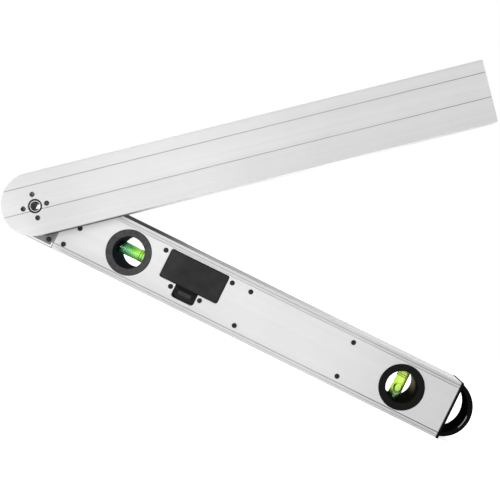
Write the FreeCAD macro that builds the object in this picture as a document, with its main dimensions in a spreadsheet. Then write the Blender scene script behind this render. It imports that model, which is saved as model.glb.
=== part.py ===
import FreeCAD
import Part
import math
import os
import types

import Sketcher
from FreeCAD import Placement, Rotation, Vector

# Digital protractor with two 400 mm aluminium arms. The main arm is a box beam that stands on its
# measuring edge along +X, with its rear face towards -Y and its display towards +Y. The swing arm
# turns on the rear face about an axis along Y. The origin lies on the measuring edge, under the
# pivot axis and midway through the beam. Every length is in millimetres, every angle in degrees.

SIZES = [
    ("leg_length", 400.0, "pivot axis to the square end of each arm"),
    ("arm_width", 53.0, "width of the main arm across its length"),
    ("swing_width", 54.2, "width of the swing arm across its length"),
    ("pivot_offset", 2.6, "pivot axis from the centre line of the main arm"),
    ("round_back", 2.0, "centre of the round ends behind the pivot axis"),
    ("round_trim", 0.1, "flat left at the middle of a round end, each side"),
    ("open_angle", 40.2, "angle between the arms as the tool stands"),
    ("beam_depth", 26.0, "thickness of the main arm"),
    ("beam_wall", 2.0, "wall of the main beam"),
    ("beam_start", 22.4, "pivot axis to the start of the main beam"),
    ("edge_chamfer", 0.9, "chamfer along the measuring edge"),
    ("swing_depth", 13.0, "thickness of the swing arm"),
    ("swing_wall", 1.8, "wall of the swing beam"),
    ("face_gap", 1.0, "gap between the two arms"),
    ("rail_line", 5.0, "arm's edge to the groove that bounds the flat panel"),
    ("rail_line_width", 0.8, "width of that groove"),
    ("rail_line_depth", 0.5, "depth of that groove"),
    ("fine_line", 2.5, "arm's edge to the fine groove in the rail"),
    ("fine_line_width", 0.5, "width of the fine grooves"),
    ("fine_line_depth", 0.25, "depth of the fine grooves"),
    ("side_line", 6.5, "middle of a narrow side to its grooves"),
    ("swing_line_outer", 18.1, "pivot axis to the swing beam's outer face groove"),
    ("swing_line_inner", 3.6, "pivot axis to its inner face groove"),
    ("swing_line_width", 0.6, "width of the swing beam's face grooves"),
    ("swing_line_depth", 0.35, "depth of the swing beam's face grooves"),
    ("press_gap", 0.02, "clearance of pieces pressed or glued together"),
    ("fit_gap", 0.15, "clearance of a plastic piece in its pocket"),
    ("running_gap", 0.05, "radial clearance of a turning shaft"),
    ("free_gap", 0.3, "clearance round a piece that moves freely"),
    ("slide_gap", 0.1, "axial clearance of turning faces"),
    ("housing_wall", 2.0, "rim of the cast pivot housing"),
    ("housing_tongue", 22.0, "length of the housing's tongue in the beam"),
    ("tongue_wall", 2.5, "walls of the housing's hollow tongue"),
    ("cover_screw_inset", 5.7, "cover screws from the edges of the housing"),
    ("front_screw_inset", 4.9, "upper front cover screw from the start of the beam"),
    ("front_screw_drop", 3.5, "upper front cover screw below the ribbon"),
    ("rear_cover_recess", 1.0, "rear pivot cover below the rim"),
    ("rear_cover_thickness", 2.0, "rear pivot cover"),
    ("front_cover_thickness", 2.5, "front pivot cover"),
    ("boss_radius", 18.0, "boss that carries the friction washer"),
    ("washer_inset", 1.0, "friction washer inside the edge of its boss"),
    ("washer_thickness", 0.9, "friction washer between the arms"),
    ("shaft_radius", 4.75, "pivot shaft"),
    ("shaft_recess", 0.5, "end of the shaft below the swing arm's face"),
    ("shaft_socket_radius", 4.1, "socket in the shaft's rear end"),
    ("shaft_socket_depth", 8.6, "depth of that socket"),
    ("shaft_web", 6.0, "solid part of the shaft between socket and thread"),
    ("shaft_front", 0.6, "shaft's front end below the housing's front face"),
    ("bush_wall", 3.2, "wall of the pivot bush"),
    ("web_front", 3.0, "front face of the housing's bearing web, from mid-depth"),
    ("collar_radius", 9.0, "collar that keeps the shaft in the housing"),
    ("collar_thickness", 3.4, "thickness of the collar"),
    ("rotor_inset", 10.0, "encoder rotor less than half the arm's width"),
    ("rotor_thickness", 1.2, "encoder rotor"),
    ("sensor_gap", 0.8, "air gap between encoder rotor and stator"),
    ("stator_seat", 2.2, "seat of the encoder stator round its chamber"),
    ("stator_clearance", 2.0, "encoder stator round the collar"),
    ("stator_thickness", 1.4, "encoder stator"),
    ("chamber_gap", 1.3, "clearance round the encoder rotor"),
    ("swing_hole_radius", 6.2, "hole in the swing beam round the shaft"),
    ("block_reach", 30.0, "pivot axis to the end of the swing arm's pivot block"),
    ("hub_circle", 10.3, "radius of the circle of the four hub screws"),
    ("hub_screw_head", 2.1, "head radius of the hub screws"),
    ("hub_screw_depth", 6.0, "hub screws' shanks in the pivot block"),
    ("hub_screw_sink", 0.35, "hub screw heads below the face"),
    ("knob_radius", 18.0, "lock knob"),
    ("knob_height", 14.0, "lock knob"),
    ("knob_flute_radius", 3.2, "finger flutes round the knob"),
    ("knob_flute_depth", 1.8, "depth of a finger flute"),
    ("knob_flutes", 10.0, "number of finger flutes"),
    ("knob_neck_radius", 11.2, "underside of the knob"),
    ("knob_waist_radius", 12.6, "top of the knob's neck"),
    ("knob_neck", 2.8, "neck under the knob's grip"),
    ("knob_shoulder", 1.7, "slope from the neck to the grip"),
    ("knob_bevel_height", 2.0, "bevel round the knob's face"),
    ("knob_bevel", 1.4, "bevel round the knob's face"),
    ("knob_cap_radius", 9.0, "cap in the knob's face"),
    ("knob_cap_thickness", 1.4, "cap in the knob's face"),
    ("stud_radius", 3.0, "threaded stud of the knob"),
    ("stud_reach", 22.0, "length of the stud below the knob"),
    ("stud_head_radius", 5.5, "head of the stud moulded in the knob"),
    ("stud_head_height", 6.6, "head of the stud moulded in the knob"),
    ("thrust_radius", 9.0, "steel washer under the knob"),
    ("thrust_thickness", 0.8, "steel washer under the knob"),
    ("level_place", 85.2, "pivot axis to the level vial"),
    ("plumb_place", 48.1, "square end to the plumb vial"),
    ("vial_ring_radius", 20.4, "outer radius of the vial rings"),
    ("vial_window", 14.1, "radius of the see-through vial window"),
    ("vial_drum_wall", 3.2, "wall of the vial holder inside the beam"),
    ("vial_ring_proud", 0.55, "vial ring above the rear face"),
    ("vial_ring_front", 1.4, "vial ring above the front face"),
    ("vial_ring_bevel", 0.35, "bevel of the vial rings"),
    ("vial_tube_radius", 5.5, "vial tube"),
    ("vial_tube_wall", 0.8, "vial tube"),
    ("vial_tube_end", 1.2, "closed ends of the vial tube"),
    ("vial_seat", 1.8, "how far a vial tube enters the holder's wall"),
    ("bubble_radius", 2.0, "bubble's half height"),
    ("bubble_length", 9.0, "bubble's length"),
    ("door_start", 118.2, "pivot axis to the battery door"),
    ("door_length", 56.1, "battery door along the arm"),
    ("door_drop", 6.4, "centre line down to the door's lower side"),
    ("door_edge", 6.35, "arm's upper edge to the door's upper side"),
    ("door_corner", 1.7, "corner radius of the battery door"),
    ("door_proud", 0.3, "battery door above the rear face"),
    ("door_thickness", 2.2, "battery door"),
    ("door_gap", 0.3, "clearance round the battery door"),
    ("well_start", 134.7, "pivot axis to the finger well"),
    ("well_length", 21.7, "finger well along the arm"),
    ("well_drop", 18.1, "centre line down to the finger well's lower side"),
    ("well_corner", 3.0, "corner radius of the finger well"),
    ("well_depth", 5.0, "depth of the finger well"),
    ("latch_margin", 2.6, "finger latch from the sides of its well"),
    ("latch_reach", 7.6, "finger latch beyond the door"),
    ("latch_sink", 1.4, "finger latch below the door's face"),
    ("latch_thickness", 1.6, "finger latch"),
    ("latch_root", 1.0, "root of the finger latch under the door"),
    ("ridge_place", 1.2, "latch's tip to its ridge"),
    ("ridge_width", 2.6, "ridge of the finger latch"),
    ("ridge_inset", 1.5, "ridge from the sides of the latch"),
    ("ridge_height", 0.8, "ridge of the finger latch"),
    ("tray_wall", 1.6, "walls of the battery tray"),
    ("tray_margin", 1.6, "tray's inside beyond the door opening"),
    ("cell_radius", 5.25, "battery cell, AAA size"),
    ("cell_length", 43.3, "battery cell without its button"),
    ("cell_button_radius", 1.9, "button of a battery cell"),
    ("cell_button_length", 1.2, "button of a battery cell"),
    ("cell_spacing", 11.6, "distance between the two cells' axes"),
    ("contact_thickness", 0.5, "battery contact plates"),
    ("contact_half", 4.0, "half the width of a contact plate"),
    ("contact_spring", 2.8, "radius of a contact's spring"),
    ("contact_boss", 1.8, "radius of a contact's boss"),
    ("hook_reach", 1.3, "hooks beyond the door's upper edge"),
    ("hook_thickness", 1.4, "hooks of the battery door"),
    ("hook_width", 6.0, "hooks of the battery door"),
    ("hook_inset", 9.0, "hooks from the ends of the door"),
    ("screw_head_radius", 2.25, "black panel screws"),
    ("screw_head_height", 0.45, "black panel screws"),
    ("screw_crown_radius", 1.8, "flat top of a panel screw"),
    ("screw_crown", 0.27, "rounded edge of a panel screw"),
    ("screw_shank_radius", 1.35, "black panel screws"),
    ("screw_shank_length", 6.0, "black panel screws"),
    ("screw_socket_radius", 0.9, "drive recess of a screw"),
    ("screw_socket_depth", 0.35, "drive recess of a screw"),
    ("screw_boss_radius", 3.4, "bosses that take the panel screws"),
    ("door_screw_gap", 4.4, "upper tray screws from the ends of the door"),
    ("door_screw_drop", 3.9, "upper tray screws below the door's upper side"),
    ("well_screw_gap", 3.3, "lower tray screws from the sides of the finger well"),
    ("well_screw_drop", 4.0, "lower tray screws below the door"),
    ("tongue_screw_gap", 8.1, "outer housing screws from the start of the beam"),
    ("tongue_screw_step", 7.1, "middle housing screw beyond the outer ones"),
    ("tongue_screw_inset", 7.7, "outer housing screws from the arm's edges"),
    ("brace_length", 12.0, "spacer block along the arm"),
    ("brace_wall", 2.4, "walls of a spacer block"),
    ("brace_rim", 1.0, "spacer block beyond its screw bosses"),
    ("brace_first", 5.3, "module's far end back to the first spacer block"),
    ("brace_second", 54.9, "plumb vial back to the second spacer block"),
    ("brace_screw_row", 10.1, "arm's edges to the screws of the spacer blocks"),
    ("cap_flange", 2.1, "flange of the end cap"),
    ("cap_plug", 14.0, "plug of the end cap in the beam"),
    ("cap_wall", 2.4, "wall of the end cap's plug"),
    ("cap_depth", 17.0, "hanging loop across the arm's thickness"),
    ("loop_step", 0.6, "arm's edges to the foot of the hanging loop"),
    ("loop_bulge", 0.15, "loop's outer radius beyond half the arm's width"),
    ("loop_foot", 4.3, "width of the hanging loop's foot on the flange"),
    ("loop_wall", 3.6, "loop's outer radius less its inner radius"),
    ("loop_round", 1.4, "rounded edges of the hanging loop"),
    ("plug_depth", 12.0, "plug in the end of the swing beam"),
    ("plug_recess", 0.8, "plug below the end of the swing beam"),
    ("module_start", 110.0, "pivot axis to the display module"),
    ("module_length", 92.0, "display module along the arm"),
    ("module_width", 38.0, "display module across the arm"),
    ("module_proud", 2.6, "display module above the front face"),
    ("module_lip", 2.2, "bezel's lip over the edge of its opening"),
    ("module_wall", 2.0, "walls of the display module"),
    ("module_corner", 4.0, "corner radius of the display module"),
    ("module_back", 3.4, "rear edge of the module, from mid-depth"),
    ("window_start", 9.4, "module's edge to the display window"),
    ("window_rest", 24.6, "display window to the module's far edge"),
    ("window_width", 27.0, "display window across the arm"),
    ("window_thickness", 1.2, "display window"),
    ("window_sink", 0.3, "display window below the bezel's face"),
    ("window_lip", 1.6, "ledge that the display window is glued to"),
    ("lcd_thickness", 2.0, "display panel"),
    ("board_margin", 0.6, "circuit board from the module's walls"),
    ("board_thickness", 1.2, "circuit board"),
    ("board_place", 6.0, "circuit board's rear face, from mid-depth"),
    ("button_place", 10.5, "module's far edge to the column of buttons"),
    ("button_spacing", 10.0, "distance between the buttons"),
    ("button_radius", 3.8, "buttons"),
    ("button_proud", 1.3, "buttons above the bezel"),
    ("button_dish", 0.3, "hollow of a button's face"),
    ("button_dish_radius", 2.85, "hollow of a button's face"),
    ("button_flange", 0.7, "flange that keeps a button in its hole"),
    ("button_travel", 0.6, "travel of a button"),
    ("bezel_thickness", 2.2, "face of the display bezel"),
    ("module_bevel", 0.7, "bevel round the bezel's face"),
    ("post_radius", 1.9, "posts that carry the circuit board"),
    ("mat_thickness", 1.0, "silicone button mat"),
    ("dome_radius", 2.6, "domes of the button mat"),
    ("ribbon_thickness", 0.3, "ribbon from the encoder to the circuit board"),
    ("ribbon_width", 5.0, "ribbon"),
    ("ribbon_turn", 12.0, "module's edge to the ribbon's downward tail"),
    ("ribbon_tail", 12.0, "length of the ribbon's downward tail"),
]


class Size:
    """A length that carries both its value and the spreadsheet formula behind it."""

    def __init__(self, value, formula):
        self.value = float(value)
        self.formula = formula

    @staticmethod
    def of(thing):
        return thing if isinstance(thing, Size) else Size(thing, repr(thing))

    def joined(self, sign, other, value):
        return Size(value, f"({self.formula} {sign} {other.formula})")

    def __add__(self, other):
        other = Size.of(other)
        return self.joined("+", other, self.value + other.value)

    def __sub__(self, other):
        other = Size.of(other)
        return self.joined("-", other, self.value - other.value)

    def __mul__(self, other):
        other = Size.of(other)
        return self.joined("*", other, self.value * other.value)

    def __truediv__(self, other):
        other = Size.of(other)
        return self.joined("/", other, self.value / other.value)

    def __radd__(self, other):
        return Size.of(other) + self

    def __rsub__(self, other):
        return Size.of(other) - self

    def __rmul__(self, other):
        return Size.of(other) * self

    def __neg__(self):
        return Size(-self.value, f"(-{self.formula})")


def fill_sheet(document):
    """Write every driving dimension into the sheet and return them by name."""
    sheet = document.addObject("Spreadsheet::Sheet", "Sizes")
    for row, (alias, value, meaning) in enumerate(SIZES, start=1):
        sheet.set(f"A{row}", meaning)
        sheet.set(f"B{row}", str(value))
        sheet.setAlias(f"B{row}", alias)
    return types.SimpleNamespace(
        **{alias: Size(value, f"Sizes.{alias}") for alias, value, _ in SIZES}
    )


class Circle:
    """A circle of a sketch."""

    def __init__(self, x, y, radius):
        self.x, self.y, self.radius = Size.of(x), Size.of(y), Size.of(radius)


class Outline:
    """A closed outline of straight sides. arcs gives the radius of each side that is an arc,
    by the number of its first corner, negative where the arc is hollow."""

    def __init__(self, corners, arcs=None):
        self.corners = [(Size.of(x), Size.of(y)) for x, y in corners]
        self.arcs = {side: Size.of(radius) for side, radius in (arcs or {}).items()}


def rectangle(x_low, x_high, y_low, y_high):
    return Outline([(x_low, y_low), (x_high, y_low), (x_high, y_high), (x_low, y_high)])


class Drawing:
    """Collects the geometry of one sketch and the constraints that tie it to the sheet."""

    def __init__(self):
        self.geometry = []
        self.rules = []
        self.formulas = {}

    def rule(self, kind, *numbers):
        self.rules.append(Sketcher.Constraint(kind, *numbers))

    def measure(self, kind, *numbers, size):
        self.formulas[len(self.rules)] = size.formula
        self.rule(kind, *numbers, size.value)

    def locate(self, item, end, x, y):
        """Tie a point to its distances from the sketch's origin."""
        for kind, axis, size in (("DistanceX", -2, x), ("DistanceY", -1, y)):
            if size.value == 0 and "Sizes" not in size.formula:
                self.rule("PointOnObject", item, end, axis)
            else:
                self.measure(kind, -1, 1, item, end, size=size)

    def circle(self, shape):
        item = len(self.geometry)
        centre = Vector(shape.x.value, shape.y.value, 0)
        self.geometry.append(Part.Circle(centre, Vector(0, 0, 1), shape.radius.value))
        self.measure("Radius", item, size=shape.radius)
        self.locate(item, 3, shape.x, shape.y)

    def outline(self, shape):
        first = len(self.geometry)
        count = len(shape.corners)
        ends = []
        for side in range(count):
            start = Vector(*(size.value for size in shape.corners[side]), 0)
            stop = Vector(*(size.value for size in shape.corners[(side + 1) % count]), 0)
            if side in shape.arcs:
                radius = shape.arcs[side].value
                self.geometry.append(arc_between(start, stop, radius))
                ends.append((1, 2) if radius > 0 else (2, 1))
            else:
                self.geometry.append(Part.LineSegment(start, stop))
                ends.append((1, 2))
        for side in range(count):
            item, following = first + side, (side + 1) % count
            self.rule("Coincident", item, ends[side][1], first + following, ends[following][0])
            self.locate(item, ends[side][0], *shape.corners[side])
            if side in shape.arcs:
                radius = shape.arcs[side]
                self.measure("Radius", item, size=radius if radius.value > 0 else -radius)

    def apply(self, sketch):
        sketch.addGeometry(self.geometry, False)
        sketch.addConstraint(self.rules)
        for index, formula in self.formulas.items():
            sketch.setExpression(f"Constraints[{index}]", formula)


def arc_between(start, stop, radius):
    """The short arc between two points, its centre to the left of the way if radius > 0."""
    chord = stop - start
    left = Vector(-chord.y, chord.x, 0).normalize()
    rise = math.sqrt(radius**2 - (chord.Length / 2) ** 2) * (1 if radius > 0 else -1)
    centre = (start + stop) / 2 + left * rise
    low, high = (start, stop) if radius > 0 else (stop, start)
    angles = [math.atan2(point.y - centre.y, point.x - centre.x) for point in (low, high)]
    circle = Part.Circle(centre, Vector(0, 0, 1), abs(radius))
    return Part.ArcOfCircle(circle, *angles)


class Piece:
    """One PartDesign body. Outlines are drawn across the axis that they are pushed along:
    (X, Z) along y, (Y, Z) along x and (X, Y) along z."""

    PLANES = {"x": ("YZ_Plane", 1), "y": ("XZ_Plane", -1), "z": ("XY_Plane", 1)}

    def __init__(self, label):
        self.label = label
        self.body = doc.addObject("PartDesign::Body", label)
        self.body.Label = label

    def origin_feature(self, role):
        return next(f for f in self.body.Origin.OriginFeatures if f.Role == role)

    def sketch(self, name, role, offset, shapes):
        sketch = self.body.newObject("Sketcher::SketchObject", f"{self.label}_{name}_sketch")
        sketch.AttachmentSupport = [(self.origin_feature(role), "")]
        sketch.MapMode = "FlatFace"
        sketch.AttachmentOffset = Placement(Vector(0, 0, offset.value), Rotation())
        sketch.setExpression("AttachmentOffset.Base.z", offset.formula)
        drawing = Drawing()
        for shape in shapes:
            if isinstance(shape, Circle):
                drawing.circle(shape)
            else:
                drawing.outline(shape)
        drawing.apply(sketch)
        return sketch

    def push(self, kind, name, axis, low, high, shapes):
        role, sense = self.PLANES[axis]
        low, high = Size.of(low), Size.of(high)
        cutting = kind == "PartDesign::Pocket"
        start = low if (sense > 0) != cutting else high
        sketch = self.sketch(name, role, start * sense, shapes)
        feature = self.body.newObject(kind, f"{self.label}_{name}")
        feature.Profile = sketch
        length = high - low
        feature.Length = length.value
        feature.setExpression("Length", length.formula)
        return feature

    def add(self, name, axis, low, high, *shapes):
        return self.push("PartDesign::Pad", name, axis, low, high, shapes)

    def cut(self, name, axis, low, high, *shapes):
        return self.push("PartDesign::Pocket", name, axis, low, high, shapes)

    def turn(self, name, corners, kind="PartDesign::Revolution", arcs=None):
        """Revolve a profile of (radius, y) corners about the body's own Y axis."""
        sketch = self.sketch(name, "XY_Plane", Size.of(0), [Outline(corners, arcs)])
        feature = self.body.newObject(kind, f"{self.label}_{name}")
        feature.Profile = sketch
        feature.ReferenceAxis = (sketch, ["V_Axis"])
        feature.Angle = 360.0
        return feature

    def dress(self, kind, name, property_name, size, picks):
        """Fillet or chamfer the edges that a test picks."""
        doc.recompute()
        base = self.body.Tip
        edges = [
            f"Edge{number}"
            for number, edge in enumerate(base.Shape.Edges, start=1)
            if picks(edge)
        ]
        feature = self.body.newObject(kind, f"{self.label}_{name}")
        feature.Base = (base, edges)
        setattr(feature, property_name, size.value)
        feature.setExpression(property_name, size.formula)
        return feature

    def fillet(self, name, size, picks):
        return self.dress("PartDesign::Fillet", name, "Radius", size, picks)

    def chamfer(self, name, size, picks):
        return self.dress("PartDesign::Chamfer", name, "Size", size, picks)

    def repeat_round(self, name, feature, count):
        pattern = self.body.newObject("PartDesign::PolarPattern", f"{self.label}_{name}")
        pattern.Originals = [feature]
        pattern.Axis = (self.origin_feature("Y_Axis"), [""])
        pattern.Angle = 360.0
        pattern.Occurrences = int(count.value)
        pattern.setExpression("Occurrences", count.formula)
        self.body.Tip = pattern
        return pattern

    def move(self, x, z):
        place(self.body, x, z)
        return self


def place(item, x, z):
    """Bind an object's place in the plane of the arms."""
    for axis, size in (("x", Size.of(x)), ("z", Size.of(z))):
        item.setExpression(f"Placement.Base.{axis}", size.formula)


def swing(item):
    """Carry an object drawn about the pivot axis to the swing arm's place."""
    turned = Rotation(Vector(0, -1, 0), size.open_angle.value)
    item.Placement = Placement(Vector(0, 0, pivot_height.value), turned)
    item.setExpression("Placement.Base.z", pivot_height.formula)
    item.setExpression("Placement.Rotation.Angle", f"{size.open_angle.formula} * 1 deg")


def runs_along(edge, axis):
    """Whether an edge is straight and lies along x, y or z."""
    if not isinstance(edge.Curve, Part.Line):
        return False
    direction = edge.Curve.Direction
    return abs(getattr(direction, axis)) > 0.999


def lies_at(edge, axis, level):
    """Whether the whole edge lies at one level of an axis."""
    box = edge.BoundBox
    low, high = getattr(box, f"{axis.upper()}Min"), getattr(box, f"{axis.upper()}Max")
    return abs(low - level) < 0.01 and abs(high - level) < 0.01


def group(label, pieces):
    """One node of several separate solids."""
    compound = doc.addObject("Part::Compound", label)
    compound.Label = label
    compound.Links = [piece.body for piece in pieces]
    return compound


def lathe(label, corners, arcs=None):
    piece = Piece(label)
    piece.turn("profile", corners, arcs=arcs)
    return piece


def ring(label, inner, outer, low, high):
    """A flat ring or, with an inner radius of 0, a disc, about the piece's own Y axis."""
    return lathe(label, [(inner, low), (outer, low), (outer, high), (inner, high)])


def round_corner_cuts(x_end, z_low, z_high, radius):
    """The two corners that come off a square end to leave it round."""
    return (
        Outline([(x_end, z_low), (x_end + radius, z_low), (x_end, z_low + radius)], {1: -radius}),
        Outline([(x_end, z_high), (x_end, z_high - radius), (x_end + radius, z_high)], {1: -radius}),
    )


def round_end(x_end, x_stop, z_low, z_high, radius):
    """An outline with a round left end and a square right end."""
    return Outline(
        [
            (x_end + radius, z_low),
            (x_stop, z_low),
            (x_stop, z_high),
            (x_end + radius, z_high),
            (x_end, z_high - radius),
            (x_end, z_low + radius),
        ],
        {3: radius, 5: radius},
    )


def grooves(surface, lines, inward, along_z):
    """Corners of V grooves in one face of a beam's section, in the order of lines.
    lines has (place, width, depth); a negative width runs the other way."""
    corners = []
    for line_place, width, depth in lines:
        for step, sink in ((-width / 2, 0), (0, depth), (width / 2, 0)):
            across = surface + sink * inward
            corners.append((across, line_place + step) if along_z else (line_place + step, across))
    return corners


doc = FreeCAD.newDocument("protractor")
size = fill_sheet(doc)

# Levels that several pieces share. y is measured from mid-depth, z from the measuring edge.
half_width = size.arm_width / 2
pivot_height = half_width + size.pivot_offset
rear = -(size.beam_depth / 2)
front = size.beam_depth / 2
rear_inside = rear + size.beam_wall
front_inside = front - size.beam_wall
beam_end = size.leg_length - size.cap_flange
round_radius = half_width - size.round_trim
round_tip = -(size.round_back + half_width)
swing_front = rear - size.face_gap
swing_rear = swing_front - size.swing_depth
swing_high = size.pivot_offset + half_width
swing_low = swing_high - size.swing_width
swing_round = size.swing_width / 2 - size.round_trim
web_rear = rear + size.rear_cover_recess + size.rear_cover_thickness
cover_inside = front - size.front_cover_thickness
door_end = size.door_start + size.door_length
door_low = half_width - size.door_drop
door_high = size.arm_width - size.door_edge
door_middle = (door_low + door_high) / 2
well_end = size.well_start + size.well_length
well_low = half_width - size.well_drop
door_face = rear - size.door_proud
module_end = size.module_start + size.module_length
module_low = half_width - size.module_width / 2
module_high = half_width + size.module_width / 2
module_face = front + size.module_proud
plumb_middle = size.leg_length - size.plumb_place
braces = (module_end - size.brace_first, plumb_middle - size.brace_second)
shaft_rear = swing_rear + size.shaft_recess
shaft_front = front - size.shaft_front
socket_floor = shaft_rear + size.shaft_socket_depth
thread_floor = socket_floor + size.shaft_web
collar_front = size.web_front + size.slide_gap + size.collar_thickness
rotor_front = collar_front + size.rotor_thickness
stator_rear = rotor_front + size.sensor_gap
rotor_radius = half_width - size.rotor_inset
chamber_radius = rotor_radius + size.chamber_gap
stator_radius = chamber_radius + size.stator_seat
knob_base = front + size.thrust_thickness + size.slide_gap
knob_face = knob_base + size.knob_height
ribbon_height = size.arm_width - size.beam_wall - size.ribbon_width
ribbon_rear = stator_rear + size.stator_thickness / 2 - size.ribbon_thickness / 2
tongue_screws = size.beam_start + size.tongue_screw_gap
panel_screws = {
    "tray_screws": [
        (size.door_start - size.door_screw_gap, door_high - size.door_screw_drop),
        (size.well_start - size.well_screw_gap, door_low - size.well_screw_drop),
        (well_end + size.well_screw_gap, door_low - size.well_screw_drop),
        (door_end + size.door_screw_gap, door_high - size.door_screw_drop),
    ],
    "housing_screws": [
        (tongue_screws, size.tongue_screw_inset),
        (tongue_screws + size.tongue_screw_step, half_width),
        (tongue_screws, size.arm_width - size.tongue_screw_inset),
    ],
}


def panel_screw(label, head_seat):
    """A black pan-head screw along Y, its head on the rear side of the seat."""
    s = size
    top = head_seat - s.screw_head_height
    return lathe(
        label,
        [
            (0, top + s.screw_socket_depth),
            (s.screw_socket_radius, top + s.screw_socket_depth),
            (s.screw_socket_radius, top),
            (s.screw_crown_radius, top),
            (s.screw_head_radius, top + s.screw_crown),
            (s.screw_head_radius, head_seat),
            (s.screw_shank_radius, head_seat),
            (s.screw_shank_radius, head_seat + s.screw_shank_length),
            (0, head_seat + s.screw_shank_length),
        ],
    )


def brace_screw_places(middle):
    row = size.brace_screw_row
    return [(middle, row), (middle, size.arm_width - row)]


def screw_holes(places, radius):
    return [Circle(x, z, radius) for x, z in places]


def make_main_beam():
    """Box-section extrusion with grooved rails, vial holes, battery and display openings."""
    s = size
    beam = Piece("main_beam")
    rail = [
        (s.fine_line, s.fine_line_width, s.fine_line_depth),
        (s.rail_line, s.rail_line_width, s.rail_line_depth),
        (s.arm_width - s.rail_line, s.rail_line_width, s.rail_line_depth),
        (s.arm_width - s.fine_line, s.fine_line_width, s.fine_line_depth),
    ]
    side = [
        (-s.side_line, s.fine_line_width, s.fine_line_depth),
        (s.side_line, s.fine_line_width, s.fine_line_depth),
    ]
    rail_down = [(where, -width, depth) for where, width, depth in reversed(rail)]
    side_back = [(where, -width, depth) for where, width, depth in reversed(side)]
    section = Outline(
        [(rear + s.edge_chamfer, 0)]
        + grooves(Size.of(0), side, 1, along_z=False)
        + [(front - s.edge_chamfer, 0), (front, s.edge_chamfer)]
        + grooves(front, rail, -1, along_z=True)
        + [(front, s.arm_width)]
        + grooves(s.arm_width, side_back, -1, along_z=False)
        + [(rear, s.arm_width)]
        + grooves(rear, rail_down, 1, along_z=True)
        + [(rear, s.edge_chamfer)]
    )
    hollow = rectangle(rear_inside, front_inside, s.beam_wall, s.arm_width - s.beam_wall)
    beam.add("section", "x", s.beam_start, beam_end, section, hollow)
    drum = s.vial_window + s.vial_drum_wall + s.fit_gap
    vials = [Circle(where, half_width, drum) for where in (s.level_place, plumb_middle)]
    beam.cut("vial_holes", "y", rear, front, *vials)
    gap = s.door_gap
    beam.cut(
        "door_opening",
        "y",
        rear,
        rear_inside,
        Outline(
            [
                (s.door_start - gap, door_low - gap),
                (s.well_start, door_low - gap),
                (s.well_start, well_low),
                (well_end, well_low),
                (well_end, door_low - gap),
                (door_end + gap, door_low - gap),
                (door_end + gap, door_high + gap),
                (s.door_start - gap, door_high + gap),
            ]
        ),
    )
    lip = s.module_lip
    beam.cut(
        "module_opening",
        "y",
        front_inside,
        front,
        rectangle(s.module_start + lip, module_end - lip, module_low + lip, module_high - lip),
    )
    places = panel_screws["tray_screws"] + panel_screws["housing_screws"]
    for middle in braces:
        places = places + brace_screw_places(middle)
    holes = screw_holes(places, s.screw_shank_radius + s.fit_gap)
    beam.cut("screw_holes", "y", rear, rear_inside, *holes)
    corners = (
        (s.door_start - gap, door_low - gap),
        (s.door_start - gap, door_high + gap),
        (door_end + gap, door_low - gap),
        (door_end + gap, door_high + gap),
    )
    beam.fillet("door_corners", s.door_corner + gap, at_corners(corners, rear))
    well = ((s.well_start, well_low), (well_end, well_low))
    beam.fillet("well_corners", s.well_corner, at_corners(well, rear))
    return beam


def at_corners(corners, level):
    """A test for the edges along Y that start at one of the (x, z) corners and y level."""

    def picks(edge):
        if not runs_along(edge, "y"):
            return False
        box = edge.BoundBox
        return abs(box.YMin - level.value) < 0.01 and any(
            abs(box.XMin - Size.of(x).value) < 0.01 and abs(box.ZMin - Size.of(z).value) < 0.01
            for x, z in corners
        )

    return picks


def make_pivot_housing():
    """Cast housing that closes the main beam's pivot end and holds the bearing and encoder."""
    s = size
    housing = Piece("pivot_housing")
    wall = s.housing_wall
    body = round_end(round_tip, s.beam_start, Size.of(0), s.arm_width, round_radius)
    housing.add("shell", "y", rear, front, body)
    fit = s.fit_gap
    tongue = rectangle(
        s.beam_start - wall,
        s.beam_start + s.housing_tongue,
        s.beam_wall + fit,
        s.arm_width - s.beam_wall - fit,
    )
    housing.add("tongue", "y", rear_inside + fit, front_inside - fit, tongue)
    inset = round_end(
        round_tip + wall, s.beam_start - wall, wall, s.arm_width - wall, round_radius - wall
    )
    boss = Circle(0, pivot_height, s.boss_radius)
    housing.cut("rear_recess", "y", rear, web_rear, inset, boss)
    housing.cut("front_recess", "y", cover_inside, front, inset)
    stator_seat = Circle(0, pivot_height, stator_radius + fit)
    housing.cut("stator_seat", "y", stator_rear, cover_inside, stator_seat)
    chamber = Circle(0, pivot_height, chamber_radius)
    housing.cut("encoder_chamber", "y", s.web_front, stator_rear, chamber)
    bush_radius = s.shaft_radius + s.running_gap + s.bush_wall + s.press_gap
    housing.cut("bush_bore", "y", rear, s.web_front, Circle(0, pivot_height, bush_radius))
    ribbon_path = rectangle(
        s.beam_start - s.housing_tongue / 2,
        s.beam_start + s.housing_tongue,
        ribbon_height - s.free_gap * 2,
        s.arm_width - s.beam_wall - fit,
    )
    housing.cut("ribbon_slot", "y", s.web_front, front_inside, ribbon_path)
    holes = screw_holes(panel_screws["housing_screws"], s.screw_shank_radius)
    housing.cut("tongue_holes", "y", rear_inside, rear_inside + s.screw_shank_length, *holes)
    holes = screw_holes(rear_screw_places(), s.screw_shank_radius)
    rear_holes_end = rear + s.rear_cover_recess + s.screw_shank_length
    housing.cut("rear_holes", "y", web_rear, rear_holes_end, *holes)
    holes = screw_holes(front_screw_places(), s.screw_shank_radius)
    housing.cut("front_holes", "y", front - s.screw_shank_length, cover_inside, *holes)
    core = rectangle(
        s.beam_start + s.tongue_wall,
        s.beam_start + s.housing_tongue - s.tongue_wall,
        s.beam_wall + fit + s.tongue_wall,
        ribbon_height - s.tongue_wall,
    )
    housing.cut("tongue_core", "y", rear + s.screw_shank_length + s.tongue_wall, front_inside, core)
    return housing


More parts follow.
